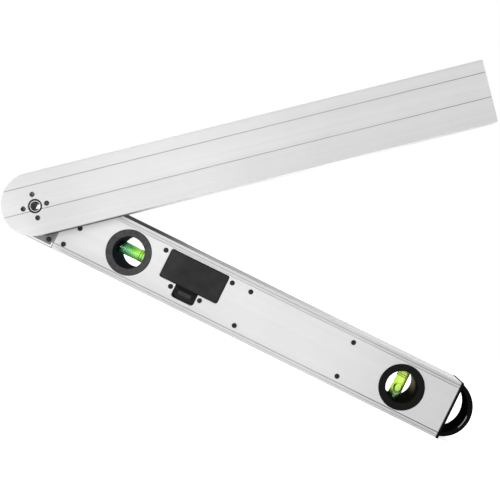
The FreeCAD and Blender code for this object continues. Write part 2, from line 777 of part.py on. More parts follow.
def rear_screw_places():
    """The screws in the two corners of the rear pivot cover."""
    inset = size.cover_screw_inset
    return [(size.beam_start - inset, inset), (size.beam_start - inset, size.arm_width - inset)]


def front_screw_places():
    """The screws of the front pivot cover, the upper one below the ribbon's slot."""
    inset = size.cover_screw_inset
    upper = ribbon_height - size.front_screw_drop
    return [(size.beam_start - inset, inset), (size.beam_start - size.front_screw_inset, upper)]


def make_pivot_covers():
    s = size
    fit = s.fit_gap
    wall = s.housing_wall + fit
    outline = round_end(
        round_tip + wall, s.beam_start - wall, wall, s.arm_width - wall, round_radius - wall
    )
    clear = s.screw_shank_radius + fit
    rear_cover = Piece("rear_pivot_cover")
    rear_face = rear + s.rear_cover_recess
    rear_cover.add("plate", "y", rear_face, web_rear, outline)
    rear_cover.cut("boss_hole", "y", rear_face, web_rear, Circle(0, pivot_height, s.boss_radius + fit))
    rear_cover.cut("holes", "y", rear_face, web_rear, *screw_holes(rear_screw_places(), clear))
    front_cover = Piece("front_pivot_cover")
    front_cover.add("plate", "y", cover_inside, front, outline)
    shaft_hole = Circle(0, pivot_height, s.shaft_radius + s.free_gap)
    front_cover.cut("shaft_hole", "y", cover_inside, front, shaft_hole)
    front_cover.cut("holes", "y", cover_inside, front, *screw_holes(front_screw_places(), clear))
    return rear_cover, front_cover


def make_screws(label, places, head_seat, flip=False):
    """A group of panel screws; flip turns them to the front side."""
    screws = []
    for number, (x, z) in enumerate(places, start=1):
        screw = panel_screw(f"{label}_{number}", head_seat)
        if flip:
            screw.body.Placement = Placement(Vector(0, 0, 0), Rotation(Vector(0, 0, 1), 180))
        place(screw.body, x, z)
        screws.append(screw)
    return group(label, screws)


def make_pivot_bearing():
    """Bush and friction washer of the main arm."""
    s = size
    inner = s.shaft_radius + s.running_gap
    outer = inner + s.bush_wall
    bush = ring("pivot_bush", inner, outer, rear, s.web_front).move(0, pivot_height)
    washer_face = rear - s.washer_thickness
    washer_rim = s.boss_radius - s.washer_inset
    washer = ring("friction_washer", inner + s.free_gap, washer_rim, washer_face, rear)
    washer.move(0, pivot_height)
    return bush, washer


def make_encoder():
    """Stator ring of the angle encoder, its ribbon and the rotor on the shaft."""
    s = size
    stator_front = stator_rear + s.stator_thickness
    stator_inner = s.collar_radius + s.stator_clearance
    stator = ring("encoder_stator", stator_inner, stator_radius, stator_rear, stator_front)
    stator.move(0, pivot_height)
    rotor_bore = s.shaft_radius + s.press_gap
    rotor = ring("encoder_rotor", rotor_bore, rotor_radius, collar_front, rotor_front)
    swing(rotor.body)
    return stator, rotor


def make_ribbon():
    """Flat flexible cable from the encoder stator along the beam to the circuit board."""
    s = size
    ribbon = Piece("sensor_ribbon")
    thick = s.ribbon_thickness
    low = s.module_back - s.free_gap - thick
    start = s.beam_start - s.housing_tongue / 2 + s.free_gap
    bend = s.beam_start + s.housing_tongue + s.ribbon_width
    foot = bend + s.ribbon_width * 2
    end = s.module_start + s.ribbon_turn
    path = Outline(
        [
            (start, ribbon_rear),
            (bend, ribbon_rear),
            (foot, low),
            (end, low),
            (end, low + thick),
            (foot + thick / 2, low + thick),
            (bend + thick / 2, ribbon_rear + thick),
            (start, ribbon_rear + thick),
        ]
    )
    top = ribbon_height + s.ribbon_width - s.free_gap
    ribbon.add("strip", "z", ribbon_height, top, path)
    tail_end = ribbon_height - s.ribbon_tail
    tail = rectangle(end - s.ribbon_width, end, tail_end, ribbon_height + thick)
    ribbon.add("tail", "y", low, low + thick, tail)
    riser = rectangle(end - s.ribbon_width, end, tail_end, tail_end + thick)
    ribbon.add("riser", "y", low, s.board_place, riser)
    return ribbon


def make_vial(name, where, along):
    """Holder, front ring, tube and fluid of one vial. along is x for level and z for plumb."""
    s = size
    window = s.vial_window
    drum = window + s.vial_drum_wall
    bevel = s.vial_ring_bevel
    ring_rear = rear - s.vial_ring_proud
    holder = lathe(
        f"{name}_vial_holder",
        [
            (window, ring_rear + bevel),
            (window + bevel, ring_rear),
            (s.vial_ring_radius - bevel, ring_rear),
            (s.vial_ring_radius, ring_rear + bevel),
            (s.vial_ring_radius, rear),
            (drum, rear),
            (drum, front),
            (window, front),
        ],
    )
    tube_hole = s.vial_tube_radius + s.press_gap
    reach = window + s.vial_seat
    holder.cut("tube_seat", along, -reach, reach, Circle(0, 0, tube_hole))
    holder.move(where, half_width)
    ring_front = front + s.vial_ring_front
    front_ring = lathe(
        f"{name}_vial_ring",
        [
            (window, front),
            (s.vial_ring_radius, front),
            (s.vial_ring_radius, ring_front - bevel),
            (s.vial_ring_radius - bevel, ring_front),
            (window + bevel, ring_front),
            (window, ring_front - bevel),
        ],
    ).move(where, half_width)
    inner = s.vial_tube_radius - s.vial_tube_wall
    tube = lathe(
        f"{name}_vial_tube",
        [
            (0, -reach),
            (s.vial_tube_radius, -reach),
            (s.vial_tube_radius, reach),
            (0, reach),
        ],
    )
    room = reach - s.vial_tube_end
    tube.turn("bore", [(0, -room), (inner, -room), (inner, room), (0, room)], "PartDesign::Groove")
    fluid_radius = inner - s.press_gap
    column = doc.addObject("Part::Cylinder", f"{name}_vial_column")
    column.setExpression("Radius", fluid_radius.formula)
    fill = room - s.press_gap
    column.setExpression("Height", (fill * 2).formula)
    column.setExpression("Placement.Base.z", (-fill).formula)
    bubble = doc.addObject("Part::Ellipsoid", f"{name}_vial_bubble")
    bubble.setExpression("Radius1", (s.bubble_length / 2).formula)
    bubble.setExpression("Radius2", s.bubble_radius.formula)
    bubble.setExpression("Radius3", s.bubble_radius.formula)
    if along == "x":
        bubble.setExpression("Placement.Base.x", (fluid_radius - s.bubble_radius - s.slide_gap).formula)
    else:
        bubble.setExpression("Placement.Base.z", (s.bubble_length - fill).formula)
    fluid = doc.addObject("Part::Cut", f"{name}_vial_fluid")
    fluid.Label = f"{name}_vial_fluid"
    fluid.Base, fluid.Tool = column, bubble
    if along == "x":
        tube.body.Placement = Placement(Vector(0, 0, 0), Rotation(Vector(0, 0, 1), -90))
        fluid.Placement = Placement(Vector(0, 0, 0), Rotation(Vector(0, 1, 0), -90))
    else:
        tube.body.Placement = Placement(Vector(0, 0, 0), Rotation(Vector(1, 0, 0), 90))
    place(tube.body, where, half_width)
    place(fluid, where, half_width)
    return holder, front_ring, tube, fluid


def make_end_cap():
    """Moulded cap of the main beam with a flange, a hollow plug and a D-shaped hanging loop."""
    s = size
    cap = Piece("end_cap_loop")
    fit = s.fit_gap
    cap.add("flange", "x", beam_end, s.leg_length, rectangle(rear, front, 0, s.arm_width))
    low, high = s.beam_wall + fit, s.arm_width - s.beam_wall - fit
    side_low, side_high = rear_inside + fit, front_inside - fit
    thick = s.cap_wall
    cap.add(
        "plug",
        "x",
        beam_end - s.cap_plug,
        beam_end,
        rectangle(side_low, side_high, low, high),
        rectangle(side_low + thick, side_high - thick, low + thick, high - thick),
    )
    flange_face = s.leg_length
    foot, hole_foot = s.loop_step, s.loop_step + s.loop_foot
    radius = half_width + s.loop_bulge
    outer = Outline([(flange_face, foot), (flange_face, s.arm_width - foot)], {0: radius})
    inner = Outline(
        [(flange_face, hole_foot), (flange_face, s.arm_width - hole_foot)],
        {0: radius - s.loop_wall},
    )
    cap.add("loop", "y", -s.cap_depth / 2, s.cap_depth / 2, outer)
    cap.cut("loop_opening", "y", -s.cap_depth / 2, s.cap_depth / 2, inner)
    half_depth = (s.cap_depth / 2).value

    def loop_rims(edge):
        beyond = edge.BoundBox.XMax > (s.leg_length + s.loop_wall).value
        faces = lies_at(edge, "y", half_depth) or lies_at(edge, "y", -half_depth)
        return beyond and faces and not isinstance(edge.Curve, Part.Line)

    cap.fillet("loop_round", s.loop_round, loop_rims)
    return cap


def make_contact(label, wall_face, tip, radius):
    """A contact plate on the tray's end wall with the boss or spring that meets the cell."""
    contact = Piece(label)
    half = size.contact_half
    sheet = size.contact_thickness
    square = rectangle(-half, half, -half, half)
    if tip.value > wall_face.value:
        contact.add("plate", "x", wall_face, wall_face + sheet, square)
        contact.add("tip", "x", wall_face + sheet, tip, Circle(0, 0, radius))
    else:
        contact.add("plate", "x", wall_face - sheet, wall_face, square)
        contact.add("tip", "x", tip, wall_face - sheet, Circle(0, 0, radius))
    return contact


def make_battery_bay():
    """Tray, cells and contacts behind the battery door."""
    s = size
    wall = s.tray_wall
    x_low, x_high = s.door_start - s.tray_margin, door_end + s.tray_margin
    z_low, z_high = door_low - s.tray_margin, door_high + s.tray_margin
    cell_axis = rear_inside + s.door_gap + s.cell_radius
    floor = cell_axis + s.cell_radius + s.slide_gap
    tray = Piece("battery_tray")
    box = rectangle(x_low - wall, x_high + wall, z_low - wall, z_high + wall)
    tray.add("box", "y", rear_inside, floor + wall, box)
    well_wall = rectangle(s.well_start - wall, well_end + wall, well_low - wall, z_low - wall / 2)
    tray.add("well_box", "y", rear_inside, rear + s.well_depth + wall, well_wall)
    bosses = screw_holes(panel_screws["tray_screws"], s.screw_boss_radius)
    tray.add("bosses", "y", rear_inside, rear_inside + s.screw_shank_length + wall, *bosses)
    tray.cut("bay", "y", rear_inside, floor, rectangle(x_low, x_high, z_low, z_high))
    well = rectangle(s.well_start, well_end, well_low, z_low)
    tray.cut("well", "y", rear_inside, rear + s.well_depth, well)
    holes = screw_holes(panel_screws["tray_screws"], s.screw_shank_radius)
    tray.cut("holes", "y", rear_inside, rear_inside + s.screw_shank_length, *holes)
    bay_middle = (x_low + x_high) / 2
    cells = []
    contacts = []
    for number, sense in ((1, 1), (2, -1)):
        row = door_middle + s.cell_spacing / 2 * sense
        cell = Piece(f"battery_cell_{number}")
        half = s.cell_length / 2
        cell.turn(
            "can",
            [
                (0, -half),
                (s.cell_radius, -half),
                (s.cell_radius, half),
                (s.cell_button_radius, half),
                (s.cell_button_radius, half + s.cell_button_length),
                (0, half + s.cell_button_length),
            ],
        )
        cell.body.Placement = Placement(Vector(0, 0, 0), Rotation(Vector(0, 0, 1), -90 * sense))
        place(cell.body, bay_middle, row)
        cell.body.setExpression("Placement.Base.y", cell_axis.formula)
        cells.append(cell)
        for end in ("low", "high"):
            button_end = (end == "high") == (sense == 1)
            wall_face = x_high if end == "high" else x_low
            reach = half + s.cell_button_length if button_end else half
            tip = bay_middle + (reach + s.slide_gap) * (1 if end == "high" else -1)
            radius = s.contact_boss if button_end else s.contact_spring
            contact = make_contact(f"battery_contact_{number}_{end}", wall_face, tip, radius)
            contact.body.setExpression("Placement.Base.y", cell_axis.formula)
            contact.body.setExpression("Placement.Base.z", row.formula)
            contacts.append(contact)
    group("battery_cells", cells)
    group("battery_contacts", contacts)
    return tray


def make_battery_door():
    """Door plate with two hooks at its upper edge and a sprung finger latch at its lower one."""
    s = size
    door = Piece("battery_door")
    plate = rectangle(s.door_start, door_end, door_low, door_high)
    inside = door_face + s.door_thickness
    door.add("plate", "y", door_face, inside, plate)
    corners = [(x, z) for x in (s.door_start, door_end) for z in (door_low, door_high)]
    door.fillet("corners", s.door_corner, at_corners(corners, door_face))
    latch_low = door_low - s.latch_reach
    latch_start, latch_end = s.well_start + s.latch_margin, well_end - s.latch_margin
    latch_rear = door_face + s.latch_sink
    tongue = rectangle(latch_start, latch_end, latch_low, door_low + s.latch_root)
    door.add("latch", "y", latch_rear, latch_rear + s.latch_thickness, tongue)
    ridge_low = latch_low + s.ridge_place
    ridge_high = ridge_low + s.ridge_width
    inset = s.ridge_inset
    ridge = rectangle(latch_start + inset, latch_end - inset, ridge_low, ridge_high)
    door.add("latch_ridge", "y", latch_rear - s.ridge_height, latch_rear, ridge)
    hook_rear = rear_inside + s.slide_gap
    hook_front = hook_rear + s.hook_thickness
    hooks = (s.door_start + s.hook_inset, door_end - s.hook_inset - s.hook_width)
    for number, x in enumerate(hooks, start=1):
        neck = rectangle(x, x + s.hook_width, door_high - s.hook_width / 2, door_high)
        door.add(f"neck_{number}", "y", inside, hook_front, neck)
        tip = rectangle(x, x + s.hook_width, door_high - s.hook_reach, door_high + s.hook_reach)
        door.add(f"hook_{number}", "y", hook_rear, hook_front, tip)
    return door


def make_braces():
    """Spacer blocks that tie the rear wall to the front wall inside the beam."""
    s = size
    blocks = []
    for number, middle in enumerate(braces, start=1):
        brace = Piece(f"spacer_block_{number}")
        low, high = middle - s.brace_length / 2, middle + s.brace_length / 2
        side = s.brace_screw_row - s.screw_boss_radius - s.brace_rim
        top = front_inside - s.fit_gap if number == 2 else s.module_back - s.fit_gap * 2
        brace.add("block", "y", rear_inside, top, rectangle(low, high, side, s.arm_width - side))
        wall = s.brace_wall
        hole_side = s.brace_screw_row + s.screw_boss_radius
        window = rectangle(low + wall, high - wall, hole_side, s.arm_width - hole_side)
        brace.cut("core", "y", rear_inside, top, window)
        holes = screw_holes(brace_screw_places(middle), s.screw_shank_radius)
        brace.cut("holes", "y", rear_inside, rear_inside + s.screw_shank_length, *holes)
        blocks.append(brace)
    group("spacer_blocks", blocks)
    places = [spot for middle in braces for spot in brace_screw_places(middle)]
    make_screws("spacer_screws", places, rear)


def make_display_module():
    """Bezel housing, window, display panel, circuit board, buttons and their mat."""
    s = size
    lip, wall, fit = s.module_lip, s.module_wall, s.fit_gap
    housing = Piece("display_housing")
    outline = rectangle(s.module_start, module_end, module_low, module_high)
    housing.add("bezel", "y", front, module_face, outline)
    corners = (
        (s.module_start, module_low),
        (s.module_start, module_high),
        (module_end, module_low),
        (module_end, module_high),
    )
    housing.fillet("bezel_corners", s.module_corner, at_corners(corners, front))
    housing.chamfer(
        "bezel_edge", s.module_bevel, lambda edge: lies_at(edge, "y", module_face.value)
    )
    x_low, x_high = s.module_start + lip + fit, module_end - lip - fit
    z_low, z_high = module_low + lip + fit, module_high - lip - fit
    skirt = rectangle(x_low, x_high, z_low, z_high)
    room = rectangle(x_low + wall, x_high - wall, z_low + wall, z_high - wall)
    housing.add("skirt", "y", s.module_back, front, skirt, room)
    face_inside = module_face - s.bezel_thickness
    housing.cut("room", "y", front, face_inside, room)
    window_low = s.module_start + s.window_start
    window_high = module_end - s.window_rest
    window_bottom = half_width - s.window_width / 2
    window_top = half_width + s.window_width / 2
    seat = module_face - s.window_sink - s.window_thickness
    pane = (window_low, window_high, window_bottom, window_top)
    housing.cut("window_seat", "y", seat, module_face, rectangle(*pane))
    ledge = s.window_lip
    view = (window_low + ledge, window_high - ledge, window_bottom + ledge, window_top - ledge)
    housing.cut("window_view", "y", front, seat, rectangle(*view))
    column = module_end - s.button_place
    rows = {
        "upper": half_width + s.button_spacing,
        "middle": half_width,
        "lower": half_width - s.button_spacing,
    }
    holes = [Circle(column, row, s.button_radius + s.free_gap) for row in rows.values()]
    housing.cut("button_holes", "y", front, module_face, *holes)
    window = Piece("display_window")
    glued = s.press_gap
    window.add(
        "pane",
        "y",
        seat,
        seat + s.window_thickness,
        rectangle(window_low + glued, window_high - glued, window_bottom + glued, window_top - glued),
    )
    panel = Piece("lcd_panel")
    panel_front = face_inside - s.press_gap
    panel.add(
        "glass",
        "y",
        panel_front - s.lcd_thickness,
        panel_front,
        rectangle(*(side + ledge * sign for side, sign in zip(view, (-1, 1, -1, 1)))),
    )
    board = Piece("circuit_board")
    margin = wall + s.board_margin
    board_front = s.board_place + s.board_thickness
    board.add(
        "board",
        "y",
        s.board_place,
        board_front,
        rectangle(x_low + margin, x_high - margin, z_low + margin, z_high - margin),
    )
    first_post = x_low + margin + s.post_radius
    second_post = (window_high + column - s.button_radius - s.button_flange) / 2
    post_rows = (z_low + margin + s.post_radius, z_high - margin - s.post_radius)
    posts = [Circle(x, z, s.post_radius) for x in (first_post, second_post) for z in post_rows]
    housing.add("posts", "y", board_front, face_inside, *posts)
    mount = Piece("lcd_carrier")
    carrier = [side + ledge * sign for side, sign in zip(view, (-1, 1, -1, 1))]
    carrier_front = panel_front - s.lcd_thickness
    mount.add(
        "frame",
        "y",
        board_front,
        carrier_front,
        rectangle(*carrier),
        rectangle(*(side - 2 * ledge * sign for side, sign in zip(carrier, (-1, 1, -1, 1)))),
    )
    flange_front = face_inside - s.slide_gap
    flange_rear = flange_front - s.button_flange
    for name, row in rows.items():
        top = module_face + s.button_proud
        button = lathe(
            f"{name}_button",
            [
                (0, flange_rear),
                (s.button_radius + s.button_flange, flange_rear),
                (s.button_radius + s.button_flange, flange_front),
                (s.button_radius, flange_front),
                (s.button_radius, top - s.button_dish),
                (s.button_radius - s.button_dish, top),
                (s.button_dish_radius, top),
                (0, top - s.button_dish),
            ],
        )
        button.move(column, row)
    mat = Piece("button_mat")
    mat_front = board_front + s.mat_thickness
    mat_half = s.button_radius + s.button_flange
    mat.add(
        "sheet",
        "y",
        board_front,
        mat_front,
        rectangle(
            column - mat_half,
            column + mat_half,
            half_width - s.button_spacing - s.dome_radius,
            half_width + s.button_spacing + s.dome_radius,
        ),
    )
    domes = [Circle(column, row, s.dome_radius) for row in rows.values()]
    mat.add("domes", "y", mat_front, flange_rear - s.button_travel - s.slide_gap, *domes)


def make_swing_beam():
    """Flat rectangular tube, round at the pivot end and square at the far end."""
    s = size
    beam = Piece("swing_beam")
    face_lines = [
        (-s.swing_line_inner, s.swing_line_width, s.swing_line_depth),
        (s.swing_line_outer, s.swing_line_width, s.swing_line_depth),
    ]
    face_down = [(where, -width, depth) for where, width, depth in reversed(face_lines)]
    section = Outline(
        [(swing_rear, swing_low), (swing_front, swing_low)]
        + grooves(swing_front, face_lines, -1, along_z=True)
        + [(swing_front, swing_high), (swing_rear, swing_high)]
        + grooves(swing_rear, face_down, 1, along_z=True)
    )
    wall = s.swing_wall
    hollow = rectangle(swing_rear + wall, swing_front - wall, swing_low + wall, swing_high - wall)
    beam.add("section", "x", round_tip, s.leg_length, section, hollow)
    trims = round_corner_cuts(round_tip, swing_low, swing_high, swing_round)
    beam.cut("round_end", "y", swing_rear, swing_front, *trims)
    beam.cut("shaft_hole", "y", swing_rear, swing_rear + wall, Circle(0, 0, s.swing_hole_radius))
    beam.cut(
        "shaft_exit", "y", swing_front - wall, swing_front, Circle(0, 0, s.shaft_radius + s.fit_gap)
    )
    heads = screw_holes(hub_screw_places(), s.hub_screw_head + s.fit_gap)
    beam.cut("hub_screw_holes", "y", swing_rear, swing_rear + wall, *heads)
    swing(beam.body)
    return beam


def hub_screw_places():
    """The four hub screws, along and across the swing arm."""
    circle = size.hub_circle
    return [(circle, Size.of(0)), (Size.of(0), circle), (-circle, Size.of(0)), (Size.of(0), -circle)]


def make_pivot_block():
    """Solid block in the round end of the swing beam that carries the shaft."""
    s = size
    block = Piece("swing_pivot_block")
    low = swing_rear + s.swing_wall + s.press_gap
    high = swing_front - s.swing_wall - s.press_gap
    edge = s.swing_wall + s.press_gap
    outline = round_end(
        round_tip,
        s.block_reach,
        swing_low,
        swing_high,
        swing_round,
    )
    block.add("body", "y", low, high, outline)
    for name, z_low, z_high in (
        ("lower_side", swing_low, swing_low + edge),
        ("upper_side", swing_high - edge, swing_high),
    ):
        block.cut(name, "y", low, high, rectangle(round_tip, s.block_reach, z_low, z_high))
    block.cut("shaft_bore", "y", low, high, Circle(0, 0, s.shaft_radius + s.press_gap))
    depth = low + s.hub_screw_depth
    block.cut("screw_holes", "y", low, depth, *screw_holes(hub_screw_places(), s.screw_shank_radius))
    swing(block.body)
    return block


def make_swing_screws():
    """Four countersunk screws that tie the swing beam to its block."""
    s = size
    seat = swing_rear + s.swing_wall + s.press_gap
    top = swing_rear + s.hub_screw_sink
    screws = []
    for number, (x, z) in enumerate(hub_screw_places(), start=1):
        screw = Piece(f"hub_screw_{number}")
        screw.turn(
            "profile",
            [
                (0, top + s.screw_socket_depth),
                (s.screw_socket_radius, top + s.screw_socket_depth),
                (s.screw_socket_radius, top),
                (s.hub_screw_head, top),
                (s.hub_screw_head, seat),
                (s.screw_shank_radius, seat),
                (s.screw_shank_radius, seat + s.hub_screw_depth),
                (0, seat + s.hub_screw_depth),
            ],
        )
        screw.move(x, z)
        screws.append(screw)
    screws_group = group("hub_screws", screws)
    swing(screws_group)


def make_shaft():
    """Hollow pivot shaft of the swing arm with its retaining collar."""
    s = size
    shaft = lathe(
        "pivot_shaft",
        [
            (0, socket_floor),
            (s.shaft_socket_radius, socket_floor),
            (s.shaft_socket_radius, shaft_rear),
            (s.shaft_radius, shaft_rear),
            (s.shaft_radius, shaft_front),
            (s.stud_radius + s.running_gap, shaft_front),
            (s.stud_radius + s.running_gap, thread_floor),
            (0, thread_floor),
        ],
    )
    swing(shaft.body)
    collar = ring(
        "shaft_collar",
        s.shaft_radius + s.press_gap,
        s.collar_radius,
        s.web_front + s.slide_gap,
        collar_front,
    )
    swing(collar.body)
    return shaft, collar


def make_end_plug():
    """Plastic plug in the square end of the swing beam."""
    s = size
    plug = Piece("swing_end_plug")
    gap = s.swing_wall + s.press_gap
    section = rectangle(swing_rear + gap, swing_front - gap, swing_low + gap, swing_high - gap)
    end = s.leg_length - s.plug_recess
    plug.add("body", "x", end - s.plug_depth, end, section)
    thick = s.cap_wall + gap
    core = rectangle(swing_rear + thick, swing_front - thick, swing_low + thick, swing_high - thick)
    plug.cut("core", "x", end - s.plug_depth, end - s.cap_wall, core)
    swing(plug.body)
    return plug


def make_knob():
    """Fluted lock knob with its stud, cap and thrust washer."""
    s = size
    head_seat = knob_face - s.knob_cap_thickness - s.stud_head_height
    cap_seat = knob_face - s.knob_cap_thickness
    bore = s.stud_radius + s.press_gap
    neck_top = knob_base + s.knob_neck
    knob = lathe(
        "lock_knob",
        [
            (bore, knob_base),
            (s.knob_neck_radius, knob_base),
            (s.knob_waist_radius, neck_top),
            (s.knob_radius, neck_top + s.knob_shoulder),
            (s.knob_radius, knob_face - s.knob_bevel_height),
            (s.knob_radius - s.knob_bevel, knob_face),
            (s.knob_cap_radius + s.press_gap, knob_face),
            (s.knob_cap_radius + s.press_gap, cap_seat),
            (s.stud_head_radius + s.press_gap, cap_seat),
            (s.stud_head_radius + s.press_gap, head_seat),
            (bore, head_seat),
        ],
    )
    flute_axis = s.knob_radius - s.knob_flute_depth + s.knob_flute_radius
    flute = Circle(flute_axis, 0, s.knob_flute_radius)
    cut = knob.cut("flute", "y", neck_top, knob_face, flute)
    knob.repeat_round("flutes", cut, s.knob_flutes)
    swing(knob.body)
    stud = lathe(
        "knob_stud",
        [
            (0, knob_base - s.stud_reach),
            (s.stud_radius, knob_base - s.stud_reach),
            (s.stud_radius, head_seat),
            (s.stud_head_radius, head_seat),
            (s.stud_head_radius, cap_seat),
            (0, cap_seat),
        ],
    )
    swing(stud.body)
    cap = ring("knob_cap", 0, s.knob_cap_radius, cap_seat, knob_face)
    swing(cap.body)
    thrust = ring(
        "thrust_washer", s.stud_radius + s.free_gap, s.thrust_radius, front, front + s.thrust_thickness
    )
    thrust.move(0, pivot_height)
    return knob


NODES = [
    "main_beam",
    "pivot_housing",
    "rear_pivot_cover",
    "front_pivot_cover",
    "rear_cover_screws",
    "front_cover_screws",
    "housing_screws",
    "tray_screws",
    "spacer_blocks",
    "spacer_screws",
    "pivot_bush",
    "friction_washer",
    "thrust_washer",
    "encoder_stator",
    "encoder_rotor",
    "sensor_ribbon",
    "level_vial_holder",
    "level_vial_ring",
    "level_vial_tube",
    "level_vial_fluid",
    "plumb_vial_holder",
    "plumb_vial_ring",
    "plumb_vial_tube",
    "plumb_vial_fluid",
    "end_cap_loop",
    "battery_tray",
    "battery_cells",
    "battery_contacts",
    "battery_door",
    "display_housing",
    "display_window",
    "lcd_panel",
    "lcd_carrier",
    "circuit_board",
    "button_mat",
    "upper_button",
    "middle_button",
    "lower_button",
    "swing_beam",
    "swing_pivot_block",
    "hub_screws",
    "pivot_shaft",
    "shaft_collar",
    "swing_end_plug",
    "lock_knob",
    "knob_stud",
    "knob_cap",
]


def export(nodes):
    """Check every object, then write each node's solids to a file of its own."""
    doc.recompute()
    for item in doc.Objects:
        if {"Invalid", "Error"} & set(item.State):
            raise RuntimeError(f"{item.Name} failed: {item.State}")
    os.makedirs("parts", exist_ok=True)
    for name in nodes:
        shape = doc.getObject(name).Shape
        if shape.isNull() or not shape.isValid() or not shape.Solids:
            raise RuntimeError(f"{name} has no valid solid")
        shape.exportStep(f"parts/{name}.step")


def main():
    make_main_beam()
    make_pivot_housing()
    make_pivot_covers()
    rear_seat = rear + size.rear_cover_recess
    make_screws("rear_cover_screws", rear_screw_places(), rear_seat)
    make_screws("front_cover_screws", front_screw_places(), rear, flip=True)
    make_screws("housing_screws", panel_screws["housing_screws"], rear)
    make_screws("tray_screws", panel_screws["tray_screws"], rear)
    make_pivot_bearing()
    make_encoder()
    make_ribbon()
    make_vial("level", size.level_place, "x")
    make_vial("plumb", plumb_middle, "z")
    make_end_cap()
    make_battery_bay()
    make_battery_door()
    make_braces()
    make_display_module()
    make_swing_beam()
    make_pivot_block()
    make_swing_screws()
    make_shaft()
    make_end_plug()
    make_knob()
    export(NODES)


main()
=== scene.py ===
"""Digital protractor with two aluminium arms that stand at 40.2 degrees, seen from its rear side.

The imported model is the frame. This script gives every part its finish, models the small pieces
that the frame leaves plain, and sets up the studio.
"""

import logging
import math
from dataclasses import dataclass
from enum import Enum
from typing import Any, Callable, Optional, Sequence, Union

import bmesh
import bpy
from mathutils import Matrix, Vector

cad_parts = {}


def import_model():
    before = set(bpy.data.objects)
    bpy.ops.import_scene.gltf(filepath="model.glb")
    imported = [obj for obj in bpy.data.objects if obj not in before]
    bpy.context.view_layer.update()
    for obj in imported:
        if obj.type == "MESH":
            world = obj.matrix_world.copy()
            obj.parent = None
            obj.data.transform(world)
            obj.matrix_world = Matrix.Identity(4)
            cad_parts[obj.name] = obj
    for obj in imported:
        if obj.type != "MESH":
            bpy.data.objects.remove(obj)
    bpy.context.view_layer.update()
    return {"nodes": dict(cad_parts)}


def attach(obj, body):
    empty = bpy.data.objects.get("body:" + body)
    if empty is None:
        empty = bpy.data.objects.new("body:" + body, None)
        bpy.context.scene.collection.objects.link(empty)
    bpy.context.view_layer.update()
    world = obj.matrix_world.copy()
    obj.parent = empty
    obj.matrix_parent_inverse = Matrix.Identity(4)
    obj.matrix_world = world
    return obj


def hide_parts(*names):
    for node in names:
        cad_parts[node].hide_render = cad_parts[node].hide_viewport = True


MM = 0.001
PIVOT_HEIGHT = 29.1 * MM
ARM_MIDDLE = 26.5 * MM
OPEN_ANGLE = 40.2
SHARP_ANGLE = math.radians(40)
SMOOTH_ANGLE = math.radians(35)
SCREW_TURN = 23.0
LEVEL_PLACE = 85.2 * MM
PLUMB_PLACE = 351.9 * MM

Colour = tuple[float, float, float, float]
log = logging.getLogger("protractor")


def paint(red: float, green: float, blue: float) -> Colour:
    """Turn a display colour into shader values.

    Args:
        red: Red from 0 to 255.
        green: Green from 0 to 255.
        blue: Blue from 0 to 255.

    Returns:
        The colour with its alpha, as the shader takes it.
    """

    def straight(level: float) -> float:
        """Undo the display curve of one channel."""
        part = level / 255
        return part / 12.92 if part <= 0.04045 else ((part + 0.055) / 1.055) ** 2.4

    return (straight(red), straight(green), straight(blue), 1.0)


def grey(level: float) -> Colour:
    """Neutral colour of one display level."""
    return paint(level, level, level)


class Body(Enum):
    """The moving bodies of the frame."""

    MAIN_ARM = "main_arm"
    SWING_ARM = "swing_arm"
    KNOB = "lock_knob"
    DOOR = "battery_door"
    UPPER_BUTTON = "upper_button"
    MIDDLE_BUTTON = "middle_button"
    LOWER_BUTTON = "lower_button"


class Task(Enum):
    """What a lamp is for."""

    BOTH = "both"
    LIGHT = "light"
    SHINE = "shine"


class Mark(Enum):
    """The signs on the three buttons."""

    POWER = "power"
    HOLD = "hold"
    ZERO = "zero"


